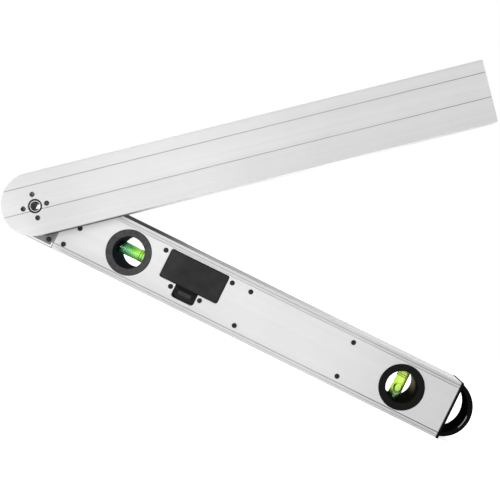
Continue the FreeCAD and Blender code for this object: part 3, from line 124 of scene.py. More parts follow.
class Wire:
    """A shader socket that can be used in Python expressions."""

    def __init__(self, shader: "Tree", socket: bpy.types.NodeSocket) -> None:
        """Keep the socket and the node tree that it belongs to."""
        self.shader = shader
        self.socket = socket

    def step(self, operation: str, *values: "Value") -> "Wire":
        """Add one Math node.

        Args:
            operation: The Math node's operation.
            *values: Its inputs in order.

        Returns:
            The node's result.
        """
        return self.shader.node("ShaderNodeMath", {"operation": operation}, dict(enumerate(values)))

    def __add__(self, other: "Value") -> "Wire":
        """Sum of both values."""
        return self.step("ADD", self, other)

    def __radd__(self, other: "Value") -> "Wire":
        """Sum of both values."""
        return self.step("ADD", other, self)

    def __sub__(self, other: "Value") -> "Wire":
        """This value less the other."""
        return self.step("SUBTRACT", self, other)

    def __rsub__(self, other: "Value") -> "Wire":
        """The other value less this one."""
        return self.step("SUBTRACT", other, self)

    def __mul__(self, other: "Value") -> "Wire":
        """Product of both values."""
        return self.step("MULTIPLY", self, other)

    def __rmul__(self, other: "Value") -> "Wire":
        """Product of both values."""
        return self.step("MULTIPLY", other, self)

    def __truediv__(self, other: "Value") -> "Wire":
        """This value over the other."""
        return self.step("DIVIDE", self, other)

    def __pow__(self, other: "Value") -> "Wire":
        """This value to a power."""
        return self.step("POWER", self, other)

    def __abs__(self) -> "Wire":
        """Size without sign."""
        return self.step("ABSOLUTE", self)

    def __gt__(self, other: "Value") -> "Wire":
        """1 where this value is larger."""
        return self.step("GREATER_THAN", self, other)

    def __lt__(self, other: "Value") -> "Wire":
        """1 where this value is smaller."""
        return self.step("LESS_THAN", self, other)

    def sine(self) -> "Wire":
        """Sine of this value in radians."""
        return self.step("SINE", self)

    def larger(self, other: "Value") -> "Wire":
        """The larger of both values."""
        return self.step("MAXIMUM", self, other)

    def near(self, place: float, half: float) -> "Wire":
        """1 within half a width of a place."""
        return self.step("COMPARE", self, place, half)

    def ramp(self, low: float, high: float) -> "Wire":
        """Smooth rise from 0 at low to 1 at high.

        Args:
            low: Value at which the result is 0.
            high: Value at which it is 1.

        Returns:
            The eased value between 0 and 1.
        """
        return self.shader.node(
            "ShaderNodeMapRange",
            {"interpolation_type": "SMOOTHSTEP"},
            {"Value": self, "From Min": low, "From Max": high},
        )


Value = Union[Wire, float, int, Sequence[float]]


class Tree:
    """Builds a node tree node by node."""

    def __init__(self, tree: bpy.types.NodeTree) -> None:
        """Keep the tree."""
        self.tree = tree

    def node(
        self, kind: str, settings: dict[str, Any], inputs: dict[Any, Value], output: Any = 0
    ) -> Wire:
        """Add any node.

        Args:
            kind: The node's type.
            settings: Its own properties, and stops for the stops of a colour ramp.
            inputs: Values or wires by socket name or number.
            output: Name or number of the socket that is returned.

        Returns:
            The chosen output.
        """
        made = self.tree.nodes.new(kind)
        for name, value in settings.items():
            if name == "stops":
                elements = made.color_ramp.elements
                while len(elements) < len(value):
                    elements.new(0.5)
                for element, (position, colour) in zip(elements, value):
                    element.position, element.color = position, colour
            else:
                setattr(made, name, value)
        for name, value in inputs.items():
            self.feed(made.inputs[name], value)
        return Wire(self, made.outputs[output])

    def feed(self, socket: bpy.types.NodeSocket, value: Value) -> None:
        """Link a wire to an input, or set the input to a value.

        Args:
            socket: The input.
            value: The wire or the value.
        """
        if isinstance(value, Wire):
            self.tree.links.new(value.socket, socket)
        else:
            socket.default_value = value

    def seen(self) -> Wire:
        """1 for camera, glossy and transmission rays."""
        camera, glossy, through = (
            self.node("ShaderNodeLightPath", {}, {}, f"Is {kind} Ray")
            for kind in ("Camera", "Glossy", "Transmission")
        )
        return camera.larger(glossy).larger(through)


class Shader(Tree):
    """Builds one material with its own surface node."""

    def __init__(self, name: str) -> None:
        """Start the material and the coordinates that its pattern is read at."""
        self.material = bpy.data.materials.new(name)
        self.material.use_nodes = True
        super().__init__(self.material.node_tree)
        self.surface = self.tree.nodes["Principled BSDF"]
        self.place = self.node("ShaderNodeTexCoord", {}, {}, "Object")
        self.x, self.y, self.z = (
            self.node("ShaderNodeSeparateXYZ", {}, {0: self.place}, axis) for axis in "XYZ"
        )

    def vector(self, x: Value, y: Value, z: Value) -> Wire:
        """Join three values to a vector."""
        return self.node("ShaderNodeCombineXYZ", {}, {0: x, 1: y, 2: z})

    def noise(self, place: Wire, scale: float, detail: float = 3.0, rough: float = 0.6) -> Wire:
        """Cloud noise round 0.5.

        Args:
            place: The vector that it is read at.
            scale: Waves in each metre.
            detail: Number of finer layers.
            rough: Weight of the finer layers.

        Returns:
            The noise from 0 to 1.
        """
        values = {"Vector": place, "Scale": scale, "Detail": detail, "Roughness": rough}
        return self.node("ShaderNodeTexNoise", {}, values)

    def mix(self, share: Value, first: Value, second: Value) -> Wire:
        """Colour between two colours."""
        return self.node("ShaderNodeMix", {"data_type": "RGBA"}, {0: share, 6: first, 7: second}, 2)

    def tone(self, colour: Value, level: Value) -> Wire:
        """Colour scaled by a level."""
        settings = {"data_type": "RGBA", "blend_type": "MULTIPLY"}
        values = {0: 1.0, 6: colour, 7: self.vector(level, level, level)}
        return self.node("ShaderNodeMix", settings, values, 2)

    def bump(self, height: Wire, strength: float, distance: float) -> None:
        """Feed the surface's normal from a height.

        Args:
            height: The height from 0 to 1.
            strength: How much of the bump is used.
            distance: Depth of the bump in metres.
        """
        values = {"Strength": strength, "Distance": distance, "Height": height}
        self.set(Normal=self.node("ShaderNodeBump", {}, values))

    def set(self, **values: Value) -> None:
        """Set sockets of the surface; a low line in a name stands for a space."""
        for name, value in values.items():
            self.feed(self.surface.inputs[name.replace("_", " ")], value)

    def matt_where(self, mask: Wire, colour: Value) -> None:
        """Swap the surface for a dull one of another colour where a mask is 1.

        Args:
            mask: Where the dull surface shows.
            colour: Its colour.
        """
        values = {"Base Color": colour, "Roughness": 0.8, "Specular IOR Level": 0.0}
        dull = self.node("ShaderNodeBsdfPrincipled", {}, values)
        plain = Wire(self, self.surface.outputs[0])
        mixed = self.node("ShaderNodeMixShader", {}, {0: mask, 1: plain, 2: dull})
        self.feed(self.tree.nodes["Material Output"].inputs[0], mixed)

    def from_axis(self, x: float, z: float) -> Wire:
        """Distance from an axis along Y.

        Args:
            x: The axis' place along the main arm.
            z: Its height.

        Returns:
            The distance in metres.
        """
        return ((self.x - x) ** 2 + (self.z - z) ** 2) ** 0.5


@dataclass(frozen=True)
class Line:
    """A thin line of painted shade along an arm and how much stronger it gets towards the far end.
    """

    place: float
    width: float
    level: float
    growth: float = 0.8


@dataclass(frozen=True)
class Finish:
    """What every finish has: a name, a colour and how it shines."""

    name: str
    colour: Colour
    roughness: float = 0.5
    metallic: float = 0.0
    specular: float = 0.5

    def start(self) -> Shader:
        """Begin the material with its uniform values.

        Returns:
            The shader to add the pattern to.
        """
        shader = Shader(self.name)
        shader.set(Base_Color=self.colour, Roughness=self.roughness, Metallic=self.metallic)
        shader.surface.inputs["Specular IOR Level"].default_value = self.specular
        return shader

    def make(self) -> bpy.types.Material:
        """Build the material."""
        return self.start().material


@dataclass(frozen=True)
class BrushedArm(Finish):
    """Extruded aluminium brushed along an arm.

    It has thin lines and rims darkened as painted shade, a narrow side with painted shade that
    deepens towards the pivot, painted shade towards the far end, and a painted shadow gap where a
    cap meets its end.
    """

    turn: float = 0.0
    origin_height: float = ARM_MIDDLE
    side_line_place: tuple[float, float] = (9.5 * MM, 2.2 * MM)
    seam_shade_share: float = 0.85
    far_range: tuple[float, float] = (260 * MM, 390 * MM)
    tail_shade_range: tuple[float, float] = (270 * MM, 400 * MM)
    lines: tuple[Line, ...] = ()
    rims: tuple[tuple[float, float, float], ...] = ()
    shaded_side: float = 26.5 * MM
    shade_steps: tuple[float, float, float] = (92 * MM, 160 * MM, 310 * MM)
    shade: float = 0.08
    side_level: float = 1.16
    matt_side: bool = True
    shade_from: float = -1.0
    side_line: float = 0.0
    seam_shade: float = 1.0
    tail_shade: float = 0.0

    def make(self) -> bpy.types.Material:
        """Build the material."""
        shader = self.start()
        cosine, sine = math.cos(math.radians(self.turn)), math.sin(math.radians(self.turn))
        height = shader.z - self.origin_height
        along = shader.x * cosine + height * sine
        across = height * cosine - shader.x * sine
        hair = shader.noise(shader.vector(along * 9, shader.y * 1500, across * 1500), 1.0, 4, 0.7)
        streak = shader.noise(shader.vector(along * 2.5, shader.y * 130, across * 130), 1.0, 2, 0.5)
        cloud = shader.noise(shader.place, 16, 2, 0.5)
        level = 0.86 + hair * 0.07 + streak * 0.11 + cloud * 0.10
        # Rims: edge bands darkened as painted shade.
        for low, high, share in self.rims:
            level = level * (1 - across.near((low + high) / 2, (high - low) / 2) * (1 - share))
        # Lines: painted shade along the grooves, stronger towards the far end.
        far = along.ramp(*self.far_range)
        for line in self.lines:
            drop = (far * line.growth + 1) * (1 - line.level)
            level = level * (1 - across.near(line.place, line.width / 2) * drop)
        side = across.near(self.shaded_side, 0.05 * MM) * (shader.y > self.shade_from)
        # Painted shade on the faces towards the far end.
        level = level * (1 - along.ramp(*self.tail_shade_range) * (1 - side) * self.tail_shade)
        # Painted shadow gap: dark where the cap meets the beam's end.
        level = level * (1 - (along > self.seam_shade) * self.seam_shade_share)
        # The narrow side's painted shade: dark near the pivot, lighter towards the far end, with a
        # darker line near its far edge.
        start, turning, end = self.shade_steps
        painted_side_light = along.ramp(start, turning) * 0.54 + along.ramp(turning, end) * 0.46
        painted_side_light = (painted_side_light * (1 - self.shade) + self.shade) * self.side_level
        level = level * (1 - side * (1 - painted_side_light))
        side_line = side * shader.y.near(*self.side_line_place)
        level = level * (1 - side_line * self.side_line * (1 + far))
        colour = shader.tone(self.colour, level)
        shader.set(Base_Color=colour, Roughness=self.roughness - 0.06 + hair * 0.12)
        shader.bump(hair, 0.25, 0.00002)
        if self.matt_side:
            shader.matt_where(side, colour)
        return shader.material


@dataclass(frozen=True)
class CastMetal(Finish):
    """Blasted casting with a fine grain, with painted shade in a well, in bands across and along a
    foot.
    """

    well: Optional[tuple[float, float, float]] = None
    bands: tuple[tuple[float, float, float, float], ...] = ()
    foot: Optional[tuple[float, float]] = None

    def make(self) -> bpy.types.Material:
        """Build the material."""
        shader = self.start()
        grain = shader.noise(shader.place, 2600, 3, 0.65)
        cloud = shader.noise(shader.place, 60, 2, 0.5)
        level = 0.88 + grain * 0.1 + cloud * 0.14
        # Bands: painted shade lines across the casting.
        for low, high, above, share in self.bands:
            band = shader.x.near((low + high) / 2, (high - low) / 2) * (shader.z > above)
            level = level * (1 - band * (1 - share))
        # Foot: painted shade along the lower edge.
        if self.foot:
            height, share = self.foot
            level = level * (1 - (shader.z < height) * (1 - share))
        colour = shader.tone(self.colour, level)
        # Well: painted shade round an axis.
        if self.well:
            x, z, radius = self.well
            inside = shader.from_axis(x, z) < radius
            colour = shader.mix(inside, colour, grey(34))
        shader.set(Base_Color=colour, Roughness=self.roughness - 0.08 + grain * 0.16)
        shader.bump(grain, 0.35, 0.00005)
        return shader.material


@dataclass(frozen=True)
class Moulded(Finish):
    """Injection-moulded plastic with a spark-eroded grain and cloudy patches of lighter and darker
    tone.
    """

    grain: float = 2200.0
    depth: float = 0.00005
    patch: float = 45.0
    blotch: float = 0.6
    slope: Optional[tuple[float, float, float, float]] = None

    def texture(self, shader: Shader) -> tuple[Wire, Wire]:
        """Roughen the surface with a grain and with clouds.

        Args:
            shader: The shader.

        Returns:
            The grain and the clouds, both from 0 to 1.
        """
        grain = shader.noise(shader.place, self.grain, 3, 0.6)
        cloud = shader.noise(shader.place, self.patch, 3, 0.55)
        shader.set(Roughness=self.roughness - 0.08 + cloud * 0.16)
        shader.bump(grain, 0.3, self.depth)
        return grain, cloud

    def mottle(self, grain: Wire, cloud: Wire) -> Wire:
        """Level of the colour, round 1, from the grain and the clouds."""
        return 1 + (grain - 0.5) * 0.14 + (cloud - 0.5) * self.blotch

    def make(self) -> bpy.types.Material:
        """Build the material."""
        shader = self.start()
        level = self.mottle(*self.texture(shader)).larger(0.3)
        # Slope: painted shade, a gradient along X.
        if self.slope:
            low, high, first, last = self.slope
            level = level * (first + shader.x.ramp(low, high) * (last - first))
        shader.set(Base_Color=shader.tone(self.colour, level))
        return shader.material


@dataclass(frozen=True)
class RingPlastic(Moulded):
    """Blotchy moulded ring with a darker outer rim and a dull bore, with painted light on one side
    of the bore wall.
    """

    bore: tuple[float, float, float, float, Colour] = (0.0, 0.0, 0.0, 0.0, (0.0, 0.0, 0.0, 1.0))
    glow: Optional[Colour] = None

    def make(self) -> bpy.types.Material:
        """Build the material."""
        shader = self.start()
        level = self.mottle(*self.texture(shader))
        x, z, radius, rim, dark = self.bore
        reach = shader.from_axis(x, z)
        wall = shader.tone(dark, level)
        # Glow: painted light from the spirit on one side of the bore wall.
        if self.glow:
            lit = (shader.x - x).ramp(6 * MM, 13 * MM) * (shader.z - z).ramp(-6 * MM, 5 * MM)
            wall = shader.mix(lit * shader.y.ramp(-9 * MM, 6 * MM), wall, self.glow)
        shader.set(Base_Color=shader.tone(self.colour, level * (1 - (reach > rim) * 0.5)))
        shader.matt_where(reach < radius, wall)
        return shader.material


@dataclass(frozen=True)
class DoorPlastic(Moulded):
    """Matt black plastic, darker along its border, with painted shade on its finger latch and a
    painted shadow under the door's edge, paler at one end.
    """

    low: tuple[float, float] = (118.2 * MM, 20.1 * MM)
    high: tuple[float, float] = (174.3 * MM, 46.65 * MM)
    border: float = 0.7 * MM
    pale_length: float = 18 * MM
    latch_top: float = 0.15 * MM
    latch_band: float = 2.8 * MM

    def make(self) -> bpy.types.Material:
        """Build the material."""
        shader = self.start()
        grain, cloud = self.texture(shader)
        along, across = (
            abs(place - (low + high) / 2) > (high - low) / 2 - self.border
            for place, low, high in zip((shader.x, shader.z), self.low, self.high)
        )
        start, bottom = self.low
        edge = along.larger(across * (shader.z > bottom - self.border))
        level = (0.5 + grain * 0.14 + cloud * 0.86) * (1 - edge * 0.5)
        level = level * (1.4 - shader.x.ramp(start, start + self.pale_length) * 0.4)
        # The latch: painted shade, with a darker painted shadow band under the door's edge.
        latch = shader.z < bottom - self.latch_top
        band = shader.z > bottom - self.latch_band
        level = level * (1 - latch * (0.58 + band * 0.28))
        shader.set(Base_Color=shader.tone(self.colour, level))
        return shader.material


@dataclass(frozen=True)
class CapPlastic(Moulded):
    """Polished black plastic, dull on the loop's inner wall, with a painted highlight line on its
    loop.
    """

    centre: tuple[float, float] = (391.96 * MM, ARM_MIDDLE)
    inner: float = 23.3 * MM
    flange: float = 400 * MM
    top: float = 52.9 * MM
    painted_highlight: float = 24.1 * MM
    painted_highlight_low: float = 15.0 * MM
    painted_highlight_high: float = 29.0 * MM
    painted_highlight_half: float = 0.32 * MM
    painted_highlight_share: float = 0.66

    def make(self) -> bpy.types.Material:
        """Build the material."""
        shader = self.start()
        cloud = shader.noise(shader.place, self.patch, 3, 0.55)
        colour = shader.tone(self.colour, 0.7 + cloud * 0.6)
        reach = shader.from_axis(*self.centre)
        # A painted highlight line along the inner edge of the loop.
        fade = shader.z.ramp(self.painted_highlight_low, self.painted_highlight_low + 2 * MM)
        fade = fade * (1 - shader.z.ramp(self.painted_highlight_high - 2 * MM, self.painted_highlight_high))
        line = reach.near(self.painted_highlight, self.painted_highlight_half) * fade * (shader.x > self.flange)
        shader.set(Base_Color=shader.mix(line * self.painted_highlight_share, colour, grey(190)))
        shader.set(Roughness=self.roughness - 0.04 + cloud * 0.08)
        shader.bump(cloud, 0.2, self.depth)
        inside = (reach < self.inner) * (shader.x > self.flange - 0.05 * MM)
        shader.matt_where(inside.larger(shader.z > self.top), colour)
        return shader.material


@dataclass(frozen=True)
class Turned(Finish):
    """Turned metal with fine rings about an axis along Y, with painted shade in a socket and on an
    outer rim where these are given.
    """

    axis: tuple[float, float] = (0.0, PIVOT_HEIGHT)
    socket: Optional[tuple[float, Colour]] = None
    rim: Optional[tuple[float, Colour]] = None

    def make(self) -> bpy.types.Material:
        """Build the material."""
        shader = self.start()
        radius = shader.from_axis(*self.axis)
        ring = shader.noise(shader.vector(radius * 4200, shader.y * 2600, 0.0), 1.0, 3, 0.6)
        colour = shader.tone(self.colour, 0.86 + ring * 0.28)
        # Socket: painted shade inside the recess.
        if self.socket:
            reach, dark = self.socket
            colour = shader.mix(radius < reach, colour, dark)
        # Rim: painted shadow of the gap round the shaft.
        if self.rim:
            reach, dark = self.rim
            shader.matt_where(radius > reach, dark)
        shader.set(Base_Color=colour, Roughness=self.roughness - 0.05 + ring * 0.1)
        shader.bump(ring, 0.2, 0.00002)
        return shader.material


@dataclass(frozen=True)
class Clear(Finish):
    """Clear moulded acrylic with a trace of handling marks."""

    index: float = 1.49

    def make(self) -> bpy.types.Material:
        """Build the material."""
        shader = self.start()
        smear = shader.noise(shader.place, 140, 3, 0.6)
        shader.surface.inputs["IOR"].default_value = self.index
        shader.surface.inputs["Transmission Weight"].default_value = 1.0
        shader.set(Roughness=self.roughness + smear * 0.02)
        shader.set(Base_Color=shader.tone(self.colour, 0.96 + smear * 0.06))
        shader.bump(smear, 0.1, 0.000002)
        return shader.material


@dataclass(frozen=True)
class VialFluid(Finish):
    """Dyed spirit with a painted glow of its own colour, with painted shade towards one end and
    along its edges.
    """

    middle: Colour = (0.0, 0.3, 0.2, 1.0)
    shaded_end: Colour = (0.0, 0.2, 0.2, 1.0)
    along_x: bool = True
    low: float = 0.0
    turning: float = 0.5
    high: float = 1.0
    bubble: Optional[tuple[float, float, float, float]] = None
    index: float = 1.3

    def outline_bubble(self, shader: Shader, colour: Wire) -> Wire:
        """Paint the bubble's outline dark, with painted light on the side where light comes in,
        painted shade at the top and the foot, and a painted highlight arc below the bubble.

        Args:
            shader: The fluid's shader.
            colour: Its colour so far.

        Returns:
            The colour with the bubble.
        """
        x, z, half_x, half_z = (size * MM for size in self.bubble)
        off_x, off_z = shader.x - PLUMB_PLACE, shader.z - ARM_MIDDLE
        # Painted light on the side where light comes in.
        pale = (1 - off_x.ramp(-3.9 * MM, -2.4 * MM)) * off_z.ramp(-7 * MM, 2 * MM)
        colour = shader.mix(pale * 0.5, colour, paint(226, 244, 196))
        # Painted shade at the top of the tube.
        colour = shader.tone(colour, 1 - off_z.ramp(9 * MM, 12 * MM) * 0.6)
        reach = (((off_x - x) / half_x) ** 2 + ((off_z - z) / half_z) ** 2) ** 0.5
        near = shader.y < -1.5 * MM
        # Outline and foot: painted shade in dull dark green.
        outline = reach.near(1.0, 0.17) * (1 - (off_z - z).ramp(1 * MM, 4 * MM) * 0.7)
        foot = (off_z < -9.8 * MM) * 0.7
        shader.matt_where(outline.larger(foot) * near * 0.95, paint(18, 66, 14))
        # A painted highlight arc below the bubble.
        highlight_arc = reach.near(1.36, 0.07) * (off_z < z - 2.5 * MM)
        return shader.mix(highlight_arc * near * 0.7, colour, paint(160, 205, 165))

    def make(self) -> bpy.types.Material:
        """Build the material."""
        shader = self.start()
        place = shader.x if self.along_x else shader.z
        swirl = shader.noise(shader.place, 260, 2, 0.5)
        place = place + (swirl - 0.5) * 0.0015
        # Ramp from the shaded end through the middle colour to the full colour; the dark end is
        # painted shade.
        colour = shader.mix(place.ramp(self.low, self.turning), self.shaded_end, self.middle)
        colour = shader.mix(place.ramp(self.turning, self.high), colour, self.colour)
        if self.along_x:
            rise = shader.z - ARM_MIDDLE
            shade = (1 - rise.ramp(-2.6 * MM, 0.4 * MM)) * (place > self.low)
            colour = shader.mix(shade * 0.5, colour, paint(44, 146, 88))
            rims = rise.ramp(3.4 * MM, 4.8 * MM) * 0.1 + (0 - rise).ramp(2.8 * MM, 4.6 * MM) * 0.3
        else:
            rims = (shader.x - PLUMB_PLACE).ramp(2.2 * MM, 3.6 * MM) * 0.88
        # Painted shade along the edges of the tube.
        colour = shader.tone(colour, 1 - rims)
        if self.bubble:
            colour = self.outline_bubble(shader, colour)
        shader.surface.inputs["IOR"].default_value = self.index
        shader.surface.inputs["Transmission Weight"].default_value = 0.65
        # Emission: a painted glow, the spirit shines though it is no lamp.
        shader.set(Base_Color=colour, Emission_Color=colour)
        shader.surface.inputs["Emission Strength"].default_value = 0.3
        shader.set(Roughness=self.roughness + swirl * 0.03)
        shader.bump(swirl, 0.1, 0.000003)
        return shader.material


@dataclass(frozen=True)
class DisplayGlass(Finish):
    """Grey-green display panel with its faint grid of unlit segments."""

    def make(self) -> bpy.types.Material:
        """Build the material."""
        shader = self.start()
        grid = (shader.x * 2400).sine() * (shader.z * 2400).sine()
        cloud = shader.noise(shader.place, 30, 2, 0.5)
        shader.set(Base_Color=shader.tone(self.colour, 0.93 + grid * 0.02 + cloud * 0.12))
        shader.set(Roughness=self.roughness - 0.05 + cloud * 0.1)
        shader.bump(cloud, 0.1, 0.00001)
        return shader.material


@dataclass(frozen=True)
class BoardLacquer(Finish):
    """Green circuit board with copper tracks under its lacquer."""

    def make(self) -> bpy.types.Material:
        """Build the material."""
        shader = self.start()
        wander = shader.noise(shader.place, 90, 2, 0.5)
        tracks = ((shader.x + wander * 0.01) * 2100).sine() > 0.75
        cells = shader.node("ShaderNodeTexVoronoi", {}, {"Vector": shader.place, "Scale": 260.0})
        pads = cells < 0.13
        colour = shader.mix(tracks * 0.5, self.colour, paint(52, 128, 74))
        shader.set(Base_Color=shader.mix(pads, colour, paint(196, 164, 92)))
        shader.set(Roughness=self.roughness + pads * 0.1)
        shader.bump(tracks, 0.3, 0.00003)
        return shader.material


@dataclass(frozen=True)
class CellWrap(Finish):
    """Printed sleeve of a battery cell, plain bands only, with bare metal at both ends."""

    middle: float = 146.2 * MM
    band_from: float = 14.0 * MM
    bare_from: float = 21.0 * MM

    def make(self) -> bpy.types.Material:
        """Build the material."""
        shader = self.start()
        from_middle = abs(shader.x - self.middle)
        bare = from_middle > self.bare_from
        band = from_middle > self.band_from
        scuff = shader.noise(shader.place, 700, 3, 0.6)
        colour = shader.mix(band, self.colour, paint(176, 112, 48))
        colour = shader.tone(shader.mix(bare, colour, grey(188)), 0.9 + scuff * 0.2)
        shader.set(Base_Color=colour, Metallic=bare * 0.9, Roughness=0.3 + scuff * 0.15)
        shader.bump(scuff, 0.2, 0.00002)
        return shader.material


@dataclass(frozen=True)
class Ribbon(Finish):
    """Flat cable with its row of conductors."""

    def make(self) -> bpy.types.Material:
        """Build the material."""
        shader = self.start()
        wave = (shader.z * 6283).sine()
        scuff = shader.noise(shader.place, 300, 2, 0.5)
        colour = shader.mix(wave > 0.2, self.colour, paint(150, 96, 40))
        shader.set(Base_Color=shader.tone(colour, 0.85 + scuff * 0.3))
        shader.set(Roughness=self.roughness - 0.05 + scuff * 0.1)
        shader.bump(wave, 0.2, 0.00004)
        return shader.material


class Bench:
    """Modelling moves that the sub-assemblies share."""

    @staticmethod
    def clear() -> None:
        """Deselect every object."""
        bpy.ops.object.select_all(action="DESELECT")

    @staticmethod
    def take(*objects: bpy.types.Object) -> None:
        """Select only these objects, the first one active."""
        Bench.clear()
        for item in objects:
            item.select_set(True)
        bpy.context.view_layer.objects.active = objects[0]

    @staticmethod
    def settle(item: bpy.types.Object, name: str) -> bpy.types.Object:
        """Put an object's place into its mesh and name it.

        Args:
            item: The object.
            name: Its name.

        Returns:
            The same object.
        """
        Bench.take(item)
        bpy.ops.object.transform_apply(location=True, rotation=True, scale=True)
        item.name = item.data.name = name
        return item

    @staticmethod
    def edit(item: bpy.types.Object) -> None:
        """Open an object's mesh with nothing selected."""
        Bench.take(item)
        bpy.ops.object.mode_set(mode="EDIT")
        bpy.ops.mesh.select_mode(type="FACE")
        bpy.ops.mesh.select_all(action="DESELECT")

    @staticmethod
    def close() -> None:
        """Leave the mesh."""
        bpy.ops.object.mode_set(mode="OBJECT")

    @staticmethod
    def pick(item: bpy.types.Object, test: Callable[[bmesh.types.BMFace], bool]) -> None:
        """Select only the faces of an open mesh that pass a test.

        Args:
            item: The object whose mesh is open.
            test: What a face has to pass.
        """
        mesh = bmesh.from_edit_mesh(item.data)
        for face in mesh.faces:
            face.select_set(False)
        for face in mesh.faces:
            if test(face):
                face.select_set(True)
        mesh.select_flush_mode()
        bmesh.update_edit_mesh(item.data)

    @staticmethod
    def reshape(item: bpy.types.Object, change: Callable[[Vector], Vector]) -> None:
        """Move the selected points of an open mesh.

        Args:
            item: The object whose mesh is open.
            change: Gives a point's new place from its old one.
        """
        mesh = bmesh.from_edit_mesh(item.data)
        for point in mesh.verts:
            if point.select:
                point.co = change(point.co)
        bmesh.update_edit_mesh(item.data)

    @staticmethod
    def copy(item: bpy.types.Object, move: Vector, turn: float = 0.0) -> bpy.types.Object:
        """Copy a piece with a mesh of its own.

        Args:
            item: The piece.
            move: How far the copy stands from it.
            turn: Turn about Y in degrees before the move.

        Returns:
            The copy.
        """
        made = item.copy()
        made.data = item.data.copy()
        turned = Matrix.Rotation(math.radians(turn), 4, "Y")
        made.data.transform(Matrix.Translation(move) @ turned)
        bpy.context.scene.collection.objects.link(made)
        return made

    @staticmethod
    def join(items: Sequence[bpy.types.Object], name: str) -> bpy.types.Object:
        """Join pieces to one object.

        Args:
            items: The pieces.
            name: The name of the whole.

        Returns:
            The joined object.
        """
        Bench.take(*items)
        if len(items) > 1:
            bpy.ops.object.join()
        return Bench.settle(items[0], name)

    @staticmethod
    def soften(item: bpy.types.Object, width: float, segments: int = 2) -> None:
        """Round an object's sharp edges and smooth its shading.

        Args:
            item: The object.
            width: Width of the rounding.
            segments: Steps of the rounding.
        """
        Bench.take(item)
        if width:
            bevel = item.modifiers.new("edge", "BEVEL")
            bevel.width, bevel.segments, bevel.limit_method = width, segments, "ANGLE"
            bevel.angle_limit = SHARP_ANGLE
            bpy.ops.object.modifier_apply(modifier=bevel.name)
        bpy.ops.object.shade_smooth_by_angle(angle=SMOOTH_ANGLE)

    @staticmethod
    def plate(centre: Vector, size: Vector, corner: float, segments: int = 1) -> bpy.types.Object:
        """Model a plate in the plane of the arms with bevelled corners, in millimetres.

        Args:
            centre: Its middle.
            size: Its length, thickness and height.
            corner: Width of the bevel at its corners.
            segments: Steps of that bevel.

        Returns:
            The plate.
        """
        Bench.clear()
        bpy.ops.mesh.primitive_cube_add(size=1, location=centre * MM, scale=size * MM)
        item = Bench.settle(bpy.context.object, "plate")
        Bench.edit(item)
        bpy.ops.mesh.select_mode(type="EDGE")
        mesh = bmesh.from_edit_mesh(item.data)
        for edge in mesh.edges:
            ends = [point.co for point in edge.verts]
            edge.select_set(abs(ends[0].y - ends[1].y) > 0.5 * size.y * MM)
        bmesh.update_edit_mesh(item.data)
        bpy.ops.mesh.bevel(offset=corner * MM, segments=segments, affect="EDGES")
        Bench.close()
        return item

    @staticmethod
    def finish(item: bpy.types.Object, body: Body, finish: Finish, slot: str) -> bpy.types.Object:
        """Give a new piece its material and its body.

        Args:
            item: The piece.
            body: The body that it moves with.
            finish: Its finish.
            slot: The record's material slot; not used.

        Returns:
            The same piece.
        """
        item.data.materials.clear()
        item.data.materials.append(finish.make())
        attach(item, body.value)
        log.info("piece %s rides on %s, %d faces", item.name, body.value, len(item.data.polygons))
        return item


@dataclass
class Assembly:
    """A group of frame nodes and the pieces that belong to them."""

    nodes: dict[str, bpy.types.Object]

    def dress(self, finish: Finish, *names: str) -> None:
        """Give frame nodes one finish.

        Args:
            finish: The finish.
            *names: The nodes.
        """
        material = finish.make()
        for name in names:
            data = self.nodes[name].data
            data.materials.clear()
            data.materials.append(material)
            log.info("node %s is %s", name, finish.name)


